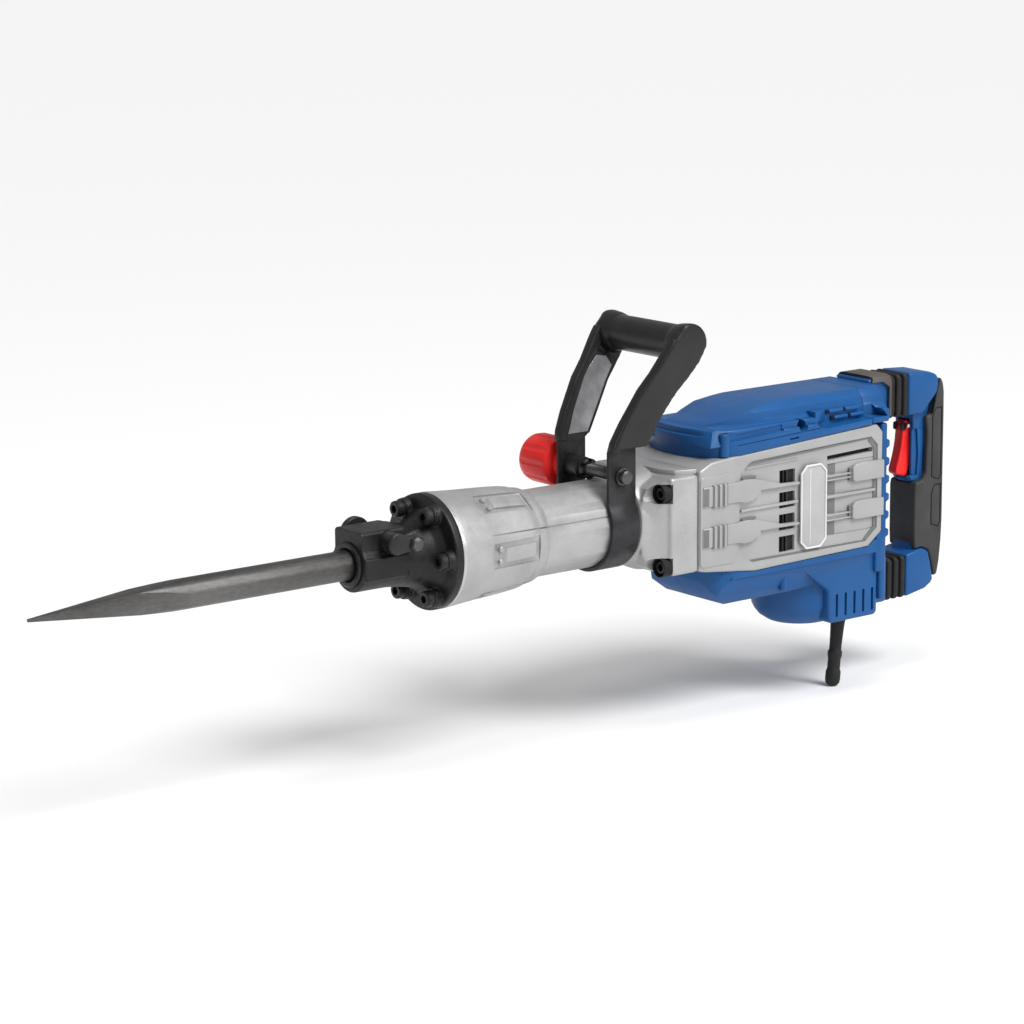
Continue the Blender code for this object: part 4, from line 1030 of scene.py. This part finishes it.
def handle_grip():
    outline = [(648, 57), (656, 60), (660, 78), (664.5, 95), (668.6, 98), (672.4, 92), (674.2, 82),
               (674.5, 60), (674.5, -58), (673.5, -80), (671, -104), (668, -118), (663, -120),
               (659, -104), (654, -89), (644, -85), (633.5, -86), (632.5, -70), (632.5, -20),
               (634, -13), (644, -12), (649, -4), (650, 40)]
    grip = soften(plate("handle_grip", outline, "XZ", -20, 20), 4.0, 5, 20)
    cut(grip, block("core_channel", (600, -11.4, -15), (664.4, 11.4, 90)))
    for side in (-1, 1):
        low, high = span(side, 18.6, 30)
        for start, end in ((66, -14), (-18, -66)):
            panel = [(656, start - 9), (661, start), (671, start), (671, end + 6), (668, end),
                     (656, end + 4)]
            inner = [(657.6, start - 9.6), (661.8, start - 1.7), (669.3, start - 1.7),
                     (669.3, end + 6), (667, end + 1.7), (657.6, end + 5)]
            groove = plate("grip_groove", panel, "XZ", low, high)
            cut(groove, plate("groove_core", inner, "XZ", side * 5, side * 60))
            cut(grip, groove)
    soften(grip, .5, 2, 40)
    fit(grip, grip_rubber, "handle", "handle_grip", angle=40)
    for side in (-1, 1):
        name = "left" if side < 0 else "right"
        edge = plate(f"grip_edge_{name}", [(663.6, 96), (665.4, 97), (660.6, 78), (656.6, 60.5),
                     (654.6, 60), (658.6, 78)], "XZ", *span(side, 19.2, 22.4), .5)
        fit(edge, black_plastic, "handle")


def trigger():
    outline = [(626.4, 46), (627, 50), (629, 53), (633, 53.6), (637, 51)]
    outline += flow([(638.5, 42), (640, 24), (637.6, 8), (633, -6.4)])
    outline += [(630, -7.6), (619, -4.6), (616.6, -2)]
    outline += flow([(617, 2), (621.4, 15), (624.8, 30), (626.4, 46)])[:-1]
    lever = plate("trigger", outline, "XZ", -6.2, 6.2, 2, 5)
    cut(lever, rod("trigger_bore", "Y", TRIGGER_AXIS, 2.35, -20, 20, 24))
    for side in (-1, 1):
        low, high = span(side, 5.6, 12)
        cut(lever, plate("trigger_panel", [(629.5, 36), (635, 36), (634.6, 16), (630, -2), (622, -1)],
                         "XZ", low, high))
    soften(lever, .35, 2, 45)
    fit(lever, red_plastic, "trigger", "trigger", angle=45)
    for side in (-1, 1):
        name = "left" if side < 0 else "right"
        # painted shade: a black inset round the trigger pin
        inset = plate(f"trigger_inset_{name}", rounded_box(623.4, 42.6, 630.6, 51.4, 2.4), "XZ",
                      *span(side, 4, 6.5), .5)
        cut(inset, rod("inset_bore", "Y", TRIGGER_AXIS, 2.4, -20, 20, 24))
        fit(inset, painted_shade_black, "trigger")


def bellows(node, low, high):
    """Folded rubber sleeve: a rounded-square tube with three rounded ribs, hollowed through."""
    rings = []
    pitch = (618.7 - 588.3) / 3
    tube = plate(node, rounded_box(-20, low + 3, 20, high - 3, 4), "YZ", 588.3, 618.7)
    for i in range(3):
        middle = 588.3 + pitch * (i + .5)
        rings.append(soften(plate(f"{node}_rib", rounded_box(-23.2, low - .2, 23.2, high + .2, 5),
                                  "YZ", middle - 3.4, middle + 3.4), 2.6, 4, 40))
    add(tube, *rings)
    cut(tube, plate("bellows_hollow", rounded_box(-17, low + 6, 17, high - 6, 3), "YZ", 580, 625))
    return tube


def sleeves():
    for node, low, high in (("bellows_upper", 62, 108), ("bellows_lower", -136, -90)):
        tube = bellows(node, low, high)
        fit(tube, black_rubber, "hammer", node, angle=40)
        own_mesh(tube)
    for node in ("handle_spring_upper", "handle_spring_lower"):
        coil = merged_copy(node, node + "_coil")
        fit(coil, bright_steel, "hammer", node)
        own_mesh(coil)


def trim_band():
    outer = [(-28.5, 66), (-28.5, 104), (-25, 109.6), (-19, 111), (19, 111), (25, 109.6),
             (28.5, 104), (28.5, 66)]
    inner = [(25.3, 66), (25.3, 108.3), (-25.3, 108.3), (-25.3, 66)]
    band = plate("trim_band", outer + inner, "YZ", 559, 587)
    for side in (-1, 1):
        low, high = span(side, 20, 40)
        cut(band, plate("band_notch", [(540, 60), (584, 60), (584, 98), (574, 104.5), (540, 104.5)],
                        "XZ", low, high))
    cut(band, plate("band_front", [(550, 90), (562, 109), (559, 112), (550, 112)], "XZ", -40, 40))
    soften(band, 1.0, 3, 35)
    fit(band, trim_rubber, "hammer", "trim_band", angle=40)


def cord_guard():
    profile = [(0, 0), (8.5, 0), (8.5, -5), (7.6, -12), (6.9, -24), (6.5, -36), (6.5, -41.4),
               (7.5, -42.6), (7.7, -44), (7.7, -47.4), (7.0, -49.6), (6.8, -51), (6.8, -61),
               (7.4, -63), (8, -64.4), (8, -73), (7.4, -76.4), (5.8, -78.6), (3.6, -79), (3.4, -74),
               (0, -74)]
    guard = turned("cord_guard", "Z", GUARD_ROOT, profile, 64)
    tilt(guard, 6, "Y", GUARD_ROOT)
    fit(guard, black_rubber, "hammer", "cord_guard", angle=40)


clamp_strap()
bail_grip()
clamp_screw()
clamp_knob()
handle_shell()
handle_grip()
trigger()
sleeves()
trim_band()
cord_guard()


# ---- inside parts, floor, light and camera --------------------------------------------------
for node in frame["nodes"].values():
    first = node.material_slots[0].material.name if node.material_slots else ""
    chosen = next((BY_SLOT[s] for s in BY_SLOT if first.startswith(s)), dark_steel)
    node.data.materials.clear()
    node.data.materials.append(chosen[1])


def floor():
    select_only()
    bpy.ops.mesh.primitive_plane_add(size=90, location=(0, 0, cad_box[0][2] - .0005))
    sheet = named("floor")
    material = bpy.data.materials.new("pale_floor")
    material.use_nodes = True
    shader = material.node_tree.nodes["Principled BSDF"]
    shader.inputs["Roughness"].default_value = 0.9
    shader.inputs["Base Color"].default_value = (.87, .87, .87, 1)
    sheet.data.materials.append(material)


def lamp(name, place, aim, size, power):
    data = bpy.data.lights.new(name, "AREA")
    data.shape, data.size, data.energy = "DISK", size, power
    light = bpy.data.objects.new(name, data)
    bpy.context.scene.collection.objects.link(light)
    light.location = place
    light.rotation_euler = (Vector(aim) - Vector(place)).to_track_quat("-Z", "Y").to_euler()


floor()
sun_data = bpy.data.lights.new("key_light", "SUN")
sun_data.energy, sun_data.angle = 2.8, math.radians(28)
sun = bpy.data.objects.new("key_light", sun_data)
bpy.context.scene.collection.objects.link(sun)
sun.rotation_euler = Vector((.18, -.66, .80)).to_track_quat("Z", "Y").to_euler()
lamp("side_light", (.9, -2.6, 1.3), (0, 0, .1), .9, 14)
lamp("top_light", (-.3, -.5, 2.4), (-.15, 0, .1), .8, 12)
world = bpy.data.worlds.new("studio")
bpy.context.scene.world = world
world.use_nodes = True
world.node_tree.nodes["Background"].inputs["Color"].default_value = (1, 1, 1, 1)
world.node_tree.nodes["Background"].inputs["Strength"].default_value = 0.40
bpy.context.scene.view_settings.view_transform = "Standard"

camera_data = bpy.data.cameras.new("camera")
camera_data.lens, camera_data.sensor_width = 117.28, 36
camera = bpy.data.objects.new("camera", camera_data)
bpy.context.scene.collection.objects.link(camera)
right, up, back = ((.7902, -.6128, -.0079), (.1335, .1596, .9781), (-.5982, -.7739, .2079))
camera.matrix_world = (Matrix.Translation(Vector((-2.3326, -2.5259, 0.8430)))
                       @ Matrix((right, up, back)).transposed().to_4x4())
bpy.context.scene.camera = camera
